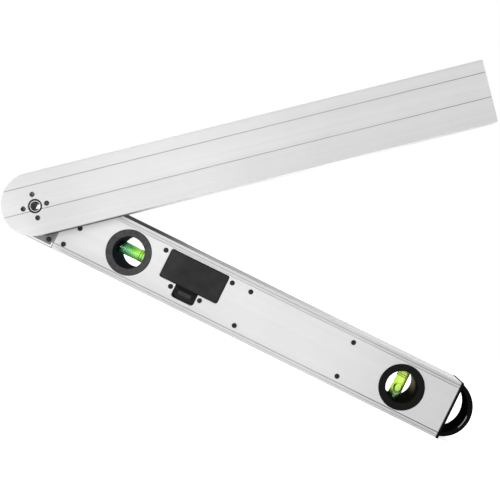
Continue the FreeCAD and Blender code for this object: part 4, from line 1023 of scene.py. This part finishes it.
@dataclass
class ScrewPattern:
    """Socket screw with a stepped crown, in millimetres, and the places that it is set in."""

    head: float = 2.25
    side: float = 0.18
    crown: tuple[tuple[float, float], ...] = ((0.14, 0.12), (0.3, 0.1), (0.5, 0.05))
    recess: float = 1.05
    recess_depth: float = 0.55
    shank: float = 1.35
    length: float = 6.0

    def model(self) -> bpy.types.Object:
        """Model one screw along Y with its seat at the origin and its head towards -Y.

        Returns:
            The screw.
        """
        Bench.clear()
        bpy.ops.mesh.primitive_cylinder_add(
            vertices=36, radius=self.head * MM, depth=self.side * MM,
            location=(0, -self.side / 2 * MM, 0), rotation=(math.pi / 2, 0, 0),
        )
        screw = Bench.settle(bpy.context.object, "screw_pattern")
        Bench.edit(screw)
        Bench.pick(screw, lambda face: face.normal.y < -0.9)
        for inset, rise in self.crown:
            bpy.ops.mesh.inset(thickness=inset * MM, depth=rise * MM)
        flat = self.head - sum(inset for inset, rise in self.crown)
        bpy.ops.mesh.inset(thickness=(flat - self.recess) * MM)
        Bench.reshape(screw, self.to_hexagon)
        bpy.ops.mesh.inset(thickness=0.02 * MM, depth=-self.recess_depth * MM)
        Bench.pick(screw, lambda face: face.normal.y > 0.9)
        bpy.ops.mesh.inset(thickness=(self.head - self.shank) * MM)
        bpy.ops.mesh.extrude_region_move(TRANSFORM_OT_translate={"value": (0, self.length * MM, 0)})
        Bench.close()
        Bench.soften(screw, 0.0)
        return screw

    def to_hexagon(self, point: Vector) -> Vector:
        """Push a point of a round rim onto a hexagon."""
        angle = math.atan2(point.z, point.x)
        within = (angle % (math.pi / 3)) - math.pi / 6
        reach = self.recess * MM * math.cos(math.pi / 6) / math.cos(within)
        return Vector((reach * math.cos(angle), point.y, reach * math.sin(angle)))

    def fit(
        self, node: str, spots: Sequence[tuple[float, float]], seat: float, body: Body,
        finish: Finish, front: bool = False,
    ) -> None:
        """Set screws in the place of a node.

        Args:
            node: The node that they stand for.
            spots: Places along and across the main arm.
            seat: Level of the seats.
            body: The body that they move with.
            finish: Their finish.
            front: Whether they face the display side.
        """
        pattern = self.model()
        if front:
            pattern.data.transform(Matrix.Rotation(math.pi, 4, "Z"))
        made = []
        for number, (x, z) in enumerate(spots):
            turned = Bench.copy(pattern, Vector((0, 0, 0)), SCREW_TURN * number)
            turned.data.transform(Matrix.Translation(Vector((x, seat, z)) * MM))
            made.append(turned)
        bpy.data.objects.remove(pattern)
        whole = Bench.join(made, f"{node}_detailed")
        Bench.finish(whole, body, finish, "black_steel")
        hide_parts(node)


@dataclass
class PanelScrews(Assembly):
    """The black screws that hold tray, housing, spacers and covers."""

    groups: tuple[tuple[str, tuple[tuple[float, float], ...], float, bool], ...] = (
        ("tray_screws", ((113.8, 42.75), (131.4, 16.1), (159.7, 16.1), (178.7, 42.75)), -13, False),
        ("housing_screws", ((30.5, 7.7), (37.6, 26.5), (30.5, 45.3)), -13, False),
        ("spacer_screws", ((196.7, 10.1), (196.7, 42.9), (297.0, 10.1), (297.0, 42.9)), -13, False),
        ("rear_cover_screws", ((16.7, 5.7), (16.7, 47.3)), -12, False),
        ("front_cover_screws", ((16.7, 5.7), (17.5, 42.5)), 13, True),
    )

    def build(self) -> None:
        """Make every panel screw."""
        pattern = ScrewPattern()
        for node, spots, seat, front in self.groups:
            pattern.fit(node, spots, seat, Body.MAIN_ARM, BLACK_SCREW, front)


@dataclass
class MainArm(Assembly):
    """Grooved box beam with its pivot housing, covers and inner blocks."""

    def build(self) -> None:
        """Dress the beam and what closes it."""
        lines = (
            Line(-21.3 * MM, 0.7 * MM, 0.64, 1.2), Line(-23.9 * MM, 0.7 * MM, 0.8),
            Line(21.5 * MM, 0.8 * MM, 0.94, 2.5), Line(23.95 * MM, 0.8 * MM, 0.74, 0.6),
        )
        beam = BrushedArm(
            "aluminium_main_beam", grey(228), 0.5, 0.25, lines=lines,
            rims=((-26.5 * MM, -21.9 * MM, 0.96), (21.7 * MM, 26.49 * MM, 0.88)),
            side_line=0.12, seam_shade=397.35 * MM, tail_shade=0.18,
        )
        self.dress(beam, "main_beam")
        # The housing's bands and foot are painted shade at its end and along its lower edge.
        housing = CastMetal(
            "cast_housing", grey(226), 0.5, 0.3, foot=(0.6 * MM, 0.34),
            bands=((20.3 * MM, 21.7 * MM, 4.6 * MM, 0.34), (21.7 * MM, 22.5 * MM, 0.0, 0.3)),
        )
        self.dress(housing, "pivot_housing")
        # The rear cover's slope is painted shade, lighter at its pivot end and darker towards the
        # beam.
        cover = Moulded(
            "rear_cover_grey", grey(136), 0.6, specular=0.15, patch=420.0, blotch=1.1,
            slope=(2 * MM, 19 * MM, 1.1, 0.8),
        )
        self.dress(cover, "rear_pivot_cover")
        self.dress(Moulded("front_cover_dark", grey(58), 0.5, specular=0.35), "front_pivot_cover")
        self.dress(Moulded("spacer_pale", grey(196), 0.6), "spacer_blocks")
        self.dress(Turned("bush_brass", paint(190, 158, 88), 0.35, 0.95), "pivot_bush")
        self.dress(Moulded("washer_dark", grey(40), 0.6), "friction_washer")
        self.dress(Turned("washer_steel", grey(186), 0.3, 0.95), "thrust_washer")
        self.dress(BoardLacquer("stator_lacquer", paint(24, 84, 48), 0.4), "encoder_stator")
        self.dress(Ribbon("ribbon_amber", paint(198, 138, 62), 0.35), "sensor_ribbon")


@dataclass
class Vial(Assembly):
    """One spirit vial: holder, front ring, tube, fluid and the black rings printed on the tube."""

    name: str
    place: float
    along_x: bool
    ring: Colour
    bore: Colour
    fluid: Colour
    middle: Colour
    shaded_end: Colour
    steps: tuple[float, float, float]
    marks: tuple[float, ...]
    glow: Optional[Colour] = None
    bubble: Optional[tuple[float, float, float, float]] = None
    tube: float = 5.5 * MM
    line: float = 0.14 * MM
    bore_radius: float = 14.35 * MM
    rim_radius: float = 20.1 * MM

    def build(self) -> None:
        """Dress the vial and model its marks."""
        slot = "level_ring" if self.along_x else "black_plastic"
        bore = (self.place, ARM_MIDDLE, self.bore_radius, self.rim_radius, self.bore)
        ring = RingPlastic(
            f"{self.name}_ring_plastic", self.ring, 0.6, specular=0.06, patch=230.0,
            blotch=1.0 if self.along_x else 0.5, bore=bore, glow=self.glow,
        )
        self.dress(ring, f"{self.name}_vial_holder", f"{self.name}_vial_ring")
        acrylic = Clear(f"{self.name}_acrylic", (0.96, 1.0, 0.93, 1.0), 0.01)
        self.dress(acrylic, f"{self.name}_vial_tube")
        centre = self.place if self.along_x else ARM_MIDDLE
        fluid = VialFluid(
            f"{self.name}_spirit", self.fluid, 0.05, middle=self.middle, shaded_end=self.shaded_end,
            along_x=self.along_x, low=centre + self.steps[0] * MM,
            turning=centre + self.steps[1] * MM, high=centre + self.steps[2] * MM,
            bubble=self.bubble,
        )
        self.dress(fluid, f"{self.name}_vial_fluid")
        self.print_marks(slot)

    def print_marks(self, slot: str) -> None:
        """Model the printed rings round the tube.

        Args:
            slot: The record's slot of the holder.
        """
        rings = []
        turn = (0, math.pi / 2, 0) if self.along_x else (0, 0, 0)
        for mark in self.marks:
            Bench.clear()
            offset = Vector((mark, 0, 0)) if self.along_x else Vector((0, 0, mark))
            centre = Vector((self.place, 0, ARM_MIDDLE)) + offset * MM
            bpy.ops.mesh.primitive_torus_add(
                major_radius=self.tube, minor_radius=self.line, major_segments=48,
                minor_segments=8, location=centre, rotation=turn,
            )
            item = Bench.settle(bpy.context.object, "mark")
            Bench.edit(item)
            bpy.ops.mesh.select_all(action="SELECT")
            stretch = (2.0, 1, 1) if self.along_x else (1, 1, 2.0)
            bpy.ops.transform.resize(value=stretch, center_override=centre)
            Bench.close()
            rings.append(item)
        whole = Bench.join(rings, f"{self.name}_vial_marks")
        Bench.soften(whole, 0.0)
        Bench.finish(whole, Body.MAIN_ARM, INK, slot)


@dataclass
class BatteryBay(Assembly):
    """Battery tray, cells, contacts and the door with its finger latch, in millimetres."""

    pad_middle: tuple[float, float, float] = (145.5, -12.2, 14.8)
    pad_size: tuple[float, float, float] = (12.8, 0.8, 3.4)
    rib_rows: tuple[float, ...] = (-1.0, 0.0, 1.0)

    def build(self) -> None:
        """Dress the bay and its door."""
        self.dress(Moulded("tray_black", grey(25), 0.5, specular=0.3), "battery_tray")
        door = DoorPlastic("door_black", grey(50), 0.6, specular=0.1, grain=1700.0, patch=90.0)
        self.dress(door, "battery_door")
        self.set_pad()
        self.dress(CellWrap("cell_sleeve", grey(38), 0.35), "battery_cells")
        self.dress(CastMetal("contact_nickel", grey(190), 0.3, 0.95), "battery_contacts")

    def set_pad(self) -> None:
        """Model the crowned thumb pad with its three ribs on the door's latch."""
        middle = Vector(self.pad_middle)
        pad = Bench.plate(middle, Vector(self.pad_size), 1.2, 6)
        Bench.edit(pad)
        Bench.pick(pad, lambda face: face.normal.y < -0.9)
        bpy.ops.mesh.inset(thickness=0.2 * MM, depth=0.12 * MM)
        bpy.ops.mesh.inset(thickness=0.4 * MM, depth=0.08 * MM)
        Bench.close()
        ribs = [
            Bench.plate(middle + Vector((0, -0.6, row)), Vector((10.6, 0.3, 0.45)), 0.2, 3)
            for row in self.rib_rows
        ]
        whole = Bench.join([pad, *ribs], "latch_pad")
        Bench.soften(whole, 0.0)
        plastic = Moulded("pad_black", grey(54), 0.45, specular=0.25, patch=260.0, blotch=0.7)
        Bench.finish(whole, Body.DOOR, plastic, "black_plastic")


@dataclass
class DisplaySide(Assembly):
    """Display housing with its window, panel, digits and buttons, in millimetres."""

    reading: str = "40.20"
    digit_width: float = 7.0
    digit_height: float = 14.0
    digit_step: float = 11.0
    stroke: float = 1.7
    panel_front: float = 13.38
    first_digit: float = 167.6
    degree: float = 126.0
    column: float = 191.5
    button_top: float = 16.9
    middle: float = 26.5
    ink: float = 0.12
    sign_ink: float = 0.2
    sign_stroke: float = 0.34
    sign_radius: float = 1.25

    SEGMENTS = {
        "0": "abcdef", "1": "bc", "2": "abged", "3": "abgcd", "4": "fgbc",
        "5": "afgcd", "6": "afgedc", "7": "abc", "8": "abcdefg", "9": "abcdfg",
    }

    def build(self) -> None:
        """Dress the display side and model its digits and signs."""
        self.dress(Moulded("bezel_dark", grey(50), 0.45, specular=0.35), "display_housing")
        self.dress(Clear("window_clear", (0.97, 0.98, 1.0, 1.0), 0.02), "display_window")
        self.dress(DisplayGlass("panel_grey_green", paint(150, 164, 140), 0.35), "lcd_panel")
        self.dress(Moulded("carrier_pale", grey(196), 0.6), "lcd_carrier")
        self.dress(BoardLacquer("board_lacquer", paint(22, 92, 48), 0.4), "circuit_board")
        self.dress(Moulded("mat_grey", grey(128), 0.7, specular=0.2), "button_mat")
        rubber = Moulded("button_grey", grey(84), 0.6, specular=0.25)
        self.dress(rubber, "upper_button", "middle_button", "lower_button")
        self.show_reading()
        for body, row, mark in (
            (Body.UPPER_BUTTON, 36.5, Mark.POWER),
            (Body.MIDDLE_BUTTON, 26.5, Mark.HOLD),
            (Body.LOWER_BUTTON, 16.5, Mark.ZERO),
        ):
            self.print_mark(body, row, mark)

    def bar(self, length: float, width: float, thickness: float) -> bpy.types.Object:
        """Model a flat bar with pointed ends, along X at the origin.

        Args:
            length: Length in millimetres.
            width: Width in millimetres.
            thickness: Thickness in millimetres.

        Returns:
            The bar.
        """
        return Bench.plate(Vector((0, 0, 0)), Vector((length, thickness, width)), width * 0.46)

    def show_reading(self) -> None:
        """Set the digits of the reading on the display panel."""
        half_w, half_h = self.digit_width / 2, self.digit_height / 2
        gap = self.stroke * 0.55
        flat = self.bar(self.digit_width - gap * 2, self.stroke, self.ink)
        tall = self.bar(half_h - gap, self.stroke, self.ink)
        spots = {
            "a": (flat, 0, half_h, 0), "g": (flat, 0, 0, 0), "d": (flat, 0, -half_h, 0),
            "b": (tall, -half_w, half_h / 2, 90), "c": (tall, -half_w, -half_h / 2, 90),
            "f": (tall, half_w, half_h / 2, 90), "e": (tall, half_w, -half_h / 2, 90),
        }
        level = self.panel_front + 0.1
        made = []
        place = self.first_digit
        for sign in self.reading:
            if sign == ".":
                point = self.bar(1.6, 1.6, self.ink)
                spot = Vector((place + self.digit_step / 2 + 0.1, level, self.middle - half_h))
                made.append(Bench.copy(point, spot * MM))
                bpy.data.objects.remove(point)
                continue
            for segment in self.SEGMENTS[sign]:
                pattern, x, z, turn = spots[segment]
                spot = Vector((place + x, level, self.middle + z))
                made.append(Bench.copy(pattern, spot * MM, turn))
            place -= self.digit_step
        degree = Vector((self.degree, level, self.middle + half_h - 0.9))
        made.append(self.arc(1.5, 0.75, self.ink, 360, degree))
        bpy.data.objects.remove(flat)
        bpy.data.objects.remove(tall)
        whole = Bench.join(made, "display_digits")
        Bench.finish(whole, Body.MAIN_ARM, LCD_INK, "lcd_glass")

    def arc(
        self, radius: float, width: float, thickness: float, sweep: float, centre: Vector
    ) -> bpy.types.Object:
        """Model a flat arc in the plane of the arms by spinning a small block.

        Args:
            radius: Middle radius in millimetres.
            width: Width of the stroke in millimetres.
            thickness: Thickness in millimetres.
            sweep: Angle of the arc in degrees.
            centre: Its centre in millimetres.

        Returns:
            The arc.
        """
        Bench.clear()
        bpy.ops.mesh.primitive_plane_add(size=1, rotation=(0, 0, 0), location=(radius * MM, 0, 0))
        item = bpy.context.object
        item.scale = (width * MM, thickness * MM, 1)
        item = Bench.settle(item, "arc")
        Bench.edit(item)
        bpy.ops.mesh.select_all(action="SELECT")
        bpy.ops.mesh.spin(
            steps=max(8, int(sweep / 11)), angle=math.radians(sweep), center=(0, 0, 0),
            axis=(0, 1, 0), use_auto_merge=False,
        )
        bpy.ops.mesh.select_all(action="SELECT")
        bpy.ops.mesh.remove_doubles(threshold=0.000005)
        if sweep >= 360:
            Bench.pick(item, lambda face: abs(face.calc_center_median().z) < 0.001 * MM)
            bpy.ops.mesh.delete(type="ONLY_FACE")
            bpy.ops.mesh.select_all(action="SELECT")
        bpy.ops.mesh.normals_make_consistent(inside=False)
        Bench.close()
        start = Matrix.Rotation(math.radians(90 - (360 - sweep) / 2), 4, "Y")
        item.data.transform(Matrix.Translation(centre * MM) @ start)
        return item

    def ring(self, sweep: float, centre: Vector) -> bpy.types.Object:
        """Arc of a button's sign."""
        return self.arc(self.sign_radius, self.sign_stroke, self.sign_ink, sweep, centre)

    def print_mark(self, body: Body, row: float, mark: Mark) -> None:
        """Print a button's sign.

        Args:
            body: The button.
            row: Its height in millimetres.
            mark: The sign.
        """
        level = self.button_top - 0.2
        centre = Vector((self.column, level, row))
        if mark is Mark.POWER:
            bar = self.bar(1.5, self.sign_stroke, self.sign_ink)
            upright = Bench.copy(bar, (centre + Vector((0, 0, 1.2))) * MM, 90)
            parts = [self.ring(290, centre), upright]
        elif mark is Mark.HOLD:
            bar = self.bar(2.4, 0.42, self.sign_ink)
            parts = [Bench.copy(bar, (centre + Vector((x, 0, 0))) * MM, 90) for x in (-0.7, 0.7)]
        else:
            bar = self.bar(2.0, self.sign_stroke, self.sign_ink)
            parts = [self.ring(360, centre), Bench.copy(bar, centre * MM, 40)]
        bpy.data.objects.remove(bar)
        whole = Bench.join(parts, f"{body.value}_sign")
        Bench.finish(whole, body, PALE_INK, "pale_plastic")


@dataclass
class EndCap(Assembly):
    """Glossy cap with its hanging loop, in millimetres."""

    lip_middle: tuple[float, float, float] = (398.95, 0.0, 53.2)
    lip_size: tuple[float, float, float] = (2.1, 25.6, 0.6)

    def build(self) -> None:
        """Dress the cap and model the lip of its flange on the beam's upper side."""
        gloss = CapPlastic("cap_gloss", grey(13), 0.2, specular=0.02, patch=60.0, depth=0.00001)
        self.dress(gloss, "end_cap_loop")
        lip = Bench.plate(Vector(self.lip_middle), Vector(self.lip_size), 0.2, 2)
        Bench.soften(lip, 0.1 * MM)
        lip.name = lip.data.name = "cap_lip"
        matt = Moulded("lip_black", grey(13), 0.6, specular=0.05)
        Bench.finish(lip, Body.MAIN_ARM, matt, "black_gloss")


@dataclass
class SwingArm(Assembly):
    """Flat swing arm with its pivot block, screws, shaft and plug, in millimetres."""

    screws: tuple[tuple[float, float], ...] = ((10.3, 0.0), (0.0, 10.3), (-10.3, 0.0), (0.0, -10.3))
    lit_patch_cuts: tuple[tuple[float, float, tuple[float, float, float]], ...] = (
        (0.5, -1.0, (1.0, 0.0, 0.0)), (1.7, 2.5, (0.352, 0.0, -0.941)),
        (2.35, -1.6, (-0.442, 0.0, 0.897)),
    )

    def build(self) -> None:
        """Dress the swing arm and model its hub screws."""
        lines = (
            Line(18.1 * MM, 0.6 * MM, 0.7), Line(-3.6 * MM, 0.6 * MM, 0.72),
            Line(4.7 * MM, 0.6 * MM, 0.95), Line(-15.2 * MM, 0.6 * MM, 0.96),
            Line(28.2 * MM, 0.8 * MM, 0.94),
        )
        beam = BrushedArm(
            "aluminium_swing_beam", grey(218), 0.5, 0.3, turn=OPEN_ANGLE,
            origin_height=PIVOT_HEIGHT, lines=lines, rims=((-25.2 * MM, -1 * MM, 0.97),),
            shaded_side=-25.1 * MM,
            shade_steps=(70 * MM, 76 * MM, 86 * MM), side_level=1.2, matt_side=False,
            shade_from=-23.5 * MM,
        )
        self.dress(beam, "swing_beam")
        well = (0.0, PIVOT_HEIGHT, 7.5 * MM)
        self.dress(CastMetal("block_cast", grey(170), 0.5, 0.6, well=well), "swing_pivot_block")
        # The shaft's socket and rim colours are painted shade.
        shaft = Turned(
            "shaft_steel", grey(170), 0.35, 0.7, socket=(4.05 * MM, grey(96)),
            rim=(4.65 * MM, grey(62)),
        )
        self.dress(shaft, "pivot_shaft")
        self.set_lit_patch()
        self.dress(Turned("collar_steel", grey(186), 0.3, 0.95), "shaft_collar")
        self.dress(BoardLacquer("rotor_lacquer", paint(30, 90, 56), 0.4), "encoder_rotor")
        self.dress(Moulded("plug_dark", grey(40), 0.5, specular=0.3), "swing_end_plug")
        pattern = ScrewPattern(head=2.1, side=1.2, recess=1.15, crown=((0.12, 0.1), (0.3, 0.17)))
        turned = math.radians(OPEN_ANGLE)
        spots = [
            (along * math.cos(turned) - across * math.sin(turned),
             PIVOT_HEIGHT / MM + along * math.sin(turned) + across * math.cos(turned))
            for along, across in self.screws
        ]
        pattern.fit("hub_screws", spots, -25.18, Body.SWING_ARM, HUB_SCREW)

    def set_lit_patch(self) -> None:
        """Model a bright piece in the shaft's socket, a painted patch of light on the socket's
        floor.
        """
        Bench.clear()
        bpy.ops.mesh.primitive_cylinder_add(
            vertices=48, radius=3.95 * MM, depth=7.0 * MM, rotation=(math.pi / 2, 0, 0),
            location=(0, -21.4 * MM, PIVOT_HEIGHT),
        )
        key = Bench.settle(bpy.context.object, "shaft_socket_lit_patch")
        Bench.edit(key)
        for x, rise, normal in self.lit_patch_cuts:
            bpy.ops.mesh.select_all(action="SELECT")
            bpy.ops.mesh.bisect(
                plane_co=(x * MM, 0, PIVOT_HEIGHT + rise * MM), plane_no=normal,
                use_fill=True, clear_inner=True,
            )
        Bench.close()
        Bench.soften(key, 0.15 * MM)
        # Bright steel that stands in for light falling into the socket.
        steel = Turned("lit_patch_steel", grey(228), 0.35, 0.5)
        Bench.finish(key, Body.SWING_ARM, steel, "bright_steel")


@dataclass
class LockKnob(Assembly):
    """Fluted lock knob with its stud and cap."""

    def build(self) -> None:
        """Dress the knob."""
        self.dress(Moulded("knob_black", grey(40), 0.5, specular=0.3, grain=1500.0), "lock_knob")
        self.dress(Turned("stud_steel", grey(186), 0.3, 0.95), "knob_stud")
        self.dress(Turned("knob_cap_grey", grey(120), 0.4, 0.3), "knob_cap")


@dataclass
class Studio:
    """Camera, lamps, white surroundings and the table that the measuring edge stands on."""

    eye: tuple[float, float, float] = (0.21404, -0.45783, 0.10765)
    right: tuple[float, float, float] = (0.89717, 0.00234, 0.44167)
    up: tuple[float, float, float] = (-0.44164, -0.00861, 0.89715)
    focal: float = 506.99
    frame: float = 500.0
    sensor: float = 36.0
    shift: tuple[float, float] = (-0.10, -0.04)
    aim: tuple[float, float, float] = (0.15, 0.0, 0.08)
    ambient: float = 0.15
    table_edge: float = 0.032
    table_reach: float = 1.8
    lamps: tuple[tuple[str, tuple[float, float, float], float, float, Task], ...] = (
        ("key", (0.32, -1.5, -0.02), 0.5, 21.5, Task.LIGHT),
        ("shine", (-0.45, -1.3, 0.03), 0.6, 4, Task.SHINE),
        ("top", (0.2, 0.1, 1.5), 1.0, 15, Task.LIGHT),
        ("rear", (0.2, 1.4, 0.35), 1.0, 8, Task.BOTH),
    )

    def set_camera(self) -> None:
        """Place the camera square to the arms, turned about its own axis as in the photograph."""
        data = bpy.data.cameras.new("camera")
        data.sensor_width = self.sensor
        data.lens = self.focal / self.frame * self.sensor
        data.shift_x, data.shift_y = self.shift
        data.clip_start, data.clip_end = 0.01, 50
        camera = bpy.data.objects.new("camera", data)
        bpy.context.scene.collection.objects.link(camera)
        right, up = Vector(self.right).normalized(), Vector(self.up).normalized()
        back = right.cross(up).normalized()
        up = back.cross(right)
        turned = Matrix((right, up, back)).transposed().to_4x4()
        camera.matrix_world = Matrix.Translation(self.eye) @ turned
        bpy.context.scene.camera = camera

    def set_lamp(
        self, name: str, place: Vector, aim: Vector, size: float, power: float, task: Task
    ) -> None:
        """Add a soft square lamp.

        Args:
            name: The lamp's name.
            place: Where it stands.
            aim: What it points at.
            size: Length of its side.
            power: Its power in watts.
            task: Whether it lights, shines or does both.
        """
        data = bpy.data.lights.new(name, "AREA")
        data.shape, data.size, data.energy = "SQUARE", size, power
        lamp = bpy.data.objects.new(name, data)
        bpy.context.scene.collection.objects.link(lamp)
        lamp.location = place
        lamp.rotation_mode = "QUATERNION"
        lamp.rotation_quaternion = (aim - place).to_track_quat("-Z", "Y")
        lamp.visible_camera = False
        lamp.visible_transmission = False
        lamp.visible_diffuse = task is not Task.SHINE
        lamp.visible_glossy = task is not Task.LIGHT

    def set_world(self) -> None:
        """White surroundings to the eye, to metal and to glass, softer as a light."""
        world = bpy.data.worlds.new("studio")
        bpy.context.scene.world = world
        world.use_nodes = True
        tree = Tree(world.node_tree)
        values = {"Value": tree.seen(), "To Min": self.ambient, "To Max": 1.0}
        background = world.node_tree.nodes["Background"]
        background.inputs["Color"].default_value = (1, 1, 1, 1)
        tree.feed(background.inputs["Strength"], tree.node("ShaderNodeMapRange", {}, values))

    def set_table(self) -> None:
        """Table that starts under the main beam, so that the swing arm can pass its edge."""
        Bench.clear()
        bpy.ops.mesh.primitive_plane_add(size=1)
        table = bpy.context.object
        table.scale = (self.table_reach, self.table_reach * 1.6, 1)
        table.location = (self.table_edge + self.table_reach / 2, 0.25, -0.00005)
        table = Bench.settle(table, "table")
        material = bpy.data.materials.new("table_white")
        material.use_nodes = True
        nodes = material.node_tree.nodes
        nodes.remove(nodes["Principled BSDF"])
        tree = Tree(material.node_tree)
        matt = tree.node("ShaderNodeBsdfDiffuse", {}, {"Color": (0.9, 0.9, 0.9, 1)})
        glow = tree.node("ShaderNodeEmission", {}, {"Strength": 0.8})
        both = tree.node("ShaderNodeAddShader", {}, {0: matt, 1: glow})
        choice = tree.node("ShaderNodeMixShader", {}, {0: tree.seen(), 1: matt, 2: both})
        back = tree.node("ShaderNodeNewGeometry", {}, {}, "Backfacing")
        clear = tree.node("ShaderNodeBsdfTransparent", {}, {})
        whole = tree.node("ShaderNodeMixShader", {}, {0: back, 1: choice, 2: clear})
        tree.feed(nodes["Material Output"].inputs[0], whole)
        table.data.materials.append(material)

    def build(self) -> None:
        """Set up the whole studio."""
        self.set_camera()
        self.set_world()
        for name, place, size, power, task in self.lamps:
            self.set_lamp(name, Vector(place), Vector(self.aim), size, power, task)
        self.set_table()
        bpy.context.scene.view_settings.view_transform = "Standard"
        log.info("studio is ready")


BLACK_SCREW = Moulded("screw_black", grey(30), 0.4, 0.3, 0.3)
# The hub screws' strong blotches are painted glints.
HUB_SCREW = Moulded("hub_screw_dark", grey(60), 0.4, 0.4, 0.4, patch=330.0, blotch=8.0)
INK = Moulded("printed_ring", grey(16), 0.4)
LCD_INK = Moulded("display_ink", grey(10), 0.6, specular=0.1, blotch=0.2)
PALE_INK = Moulded("sign_ink", grey(225), 0.5, blotch=0.1)


def main() -> None:
    """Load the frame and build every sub-assembly in order."""
    logging.basicConfig(level=logging.INFO, format="%(name)s: %(message)s")
    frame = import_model()
    nodes = frame["nodes"]
    Studio().build()
    MainArm(nodes).build()
    Vial(
        nodes, "level", LEVEL_PLACE, True, grey(83), bore=paint(50, 54, 62),
        fluid=paint(164, 228, 76), middle=paint(66, 166, 98), shaded_end=paint(6, 26, 22),
        steps=(-11.0, -5.6, 4.5), marks=(7.6, 9.8),
    ).build()
    # The plumb vial's glow colour is painted light on its bore wall.
    Vial(
        nodes, "plumb", PLUMB_PLACE, False, grey(22), bore=paint(38, 38, 28),
        fluid=paint(194, 226, 46), middle=paint(84, 138, 52), shaded_end=paint(8, 34, 16),
        steps=(-12.5, -8.4, -6.2), marks=(7.3, 9.2), glow=paint(150, 150, 122),
        bubble=(-0.2, -3.2, 3.1, 4.2),
    ).build()
    BatteryBay(nodes).build()
    DisplaySide(nodes).build()
    EndCap(nodes).build()
    SwingArm(nodes).build()
    LockKnob(nodes).build()
    PanelScrews(nodes).build()


if __name__ == "__main__":
    main()
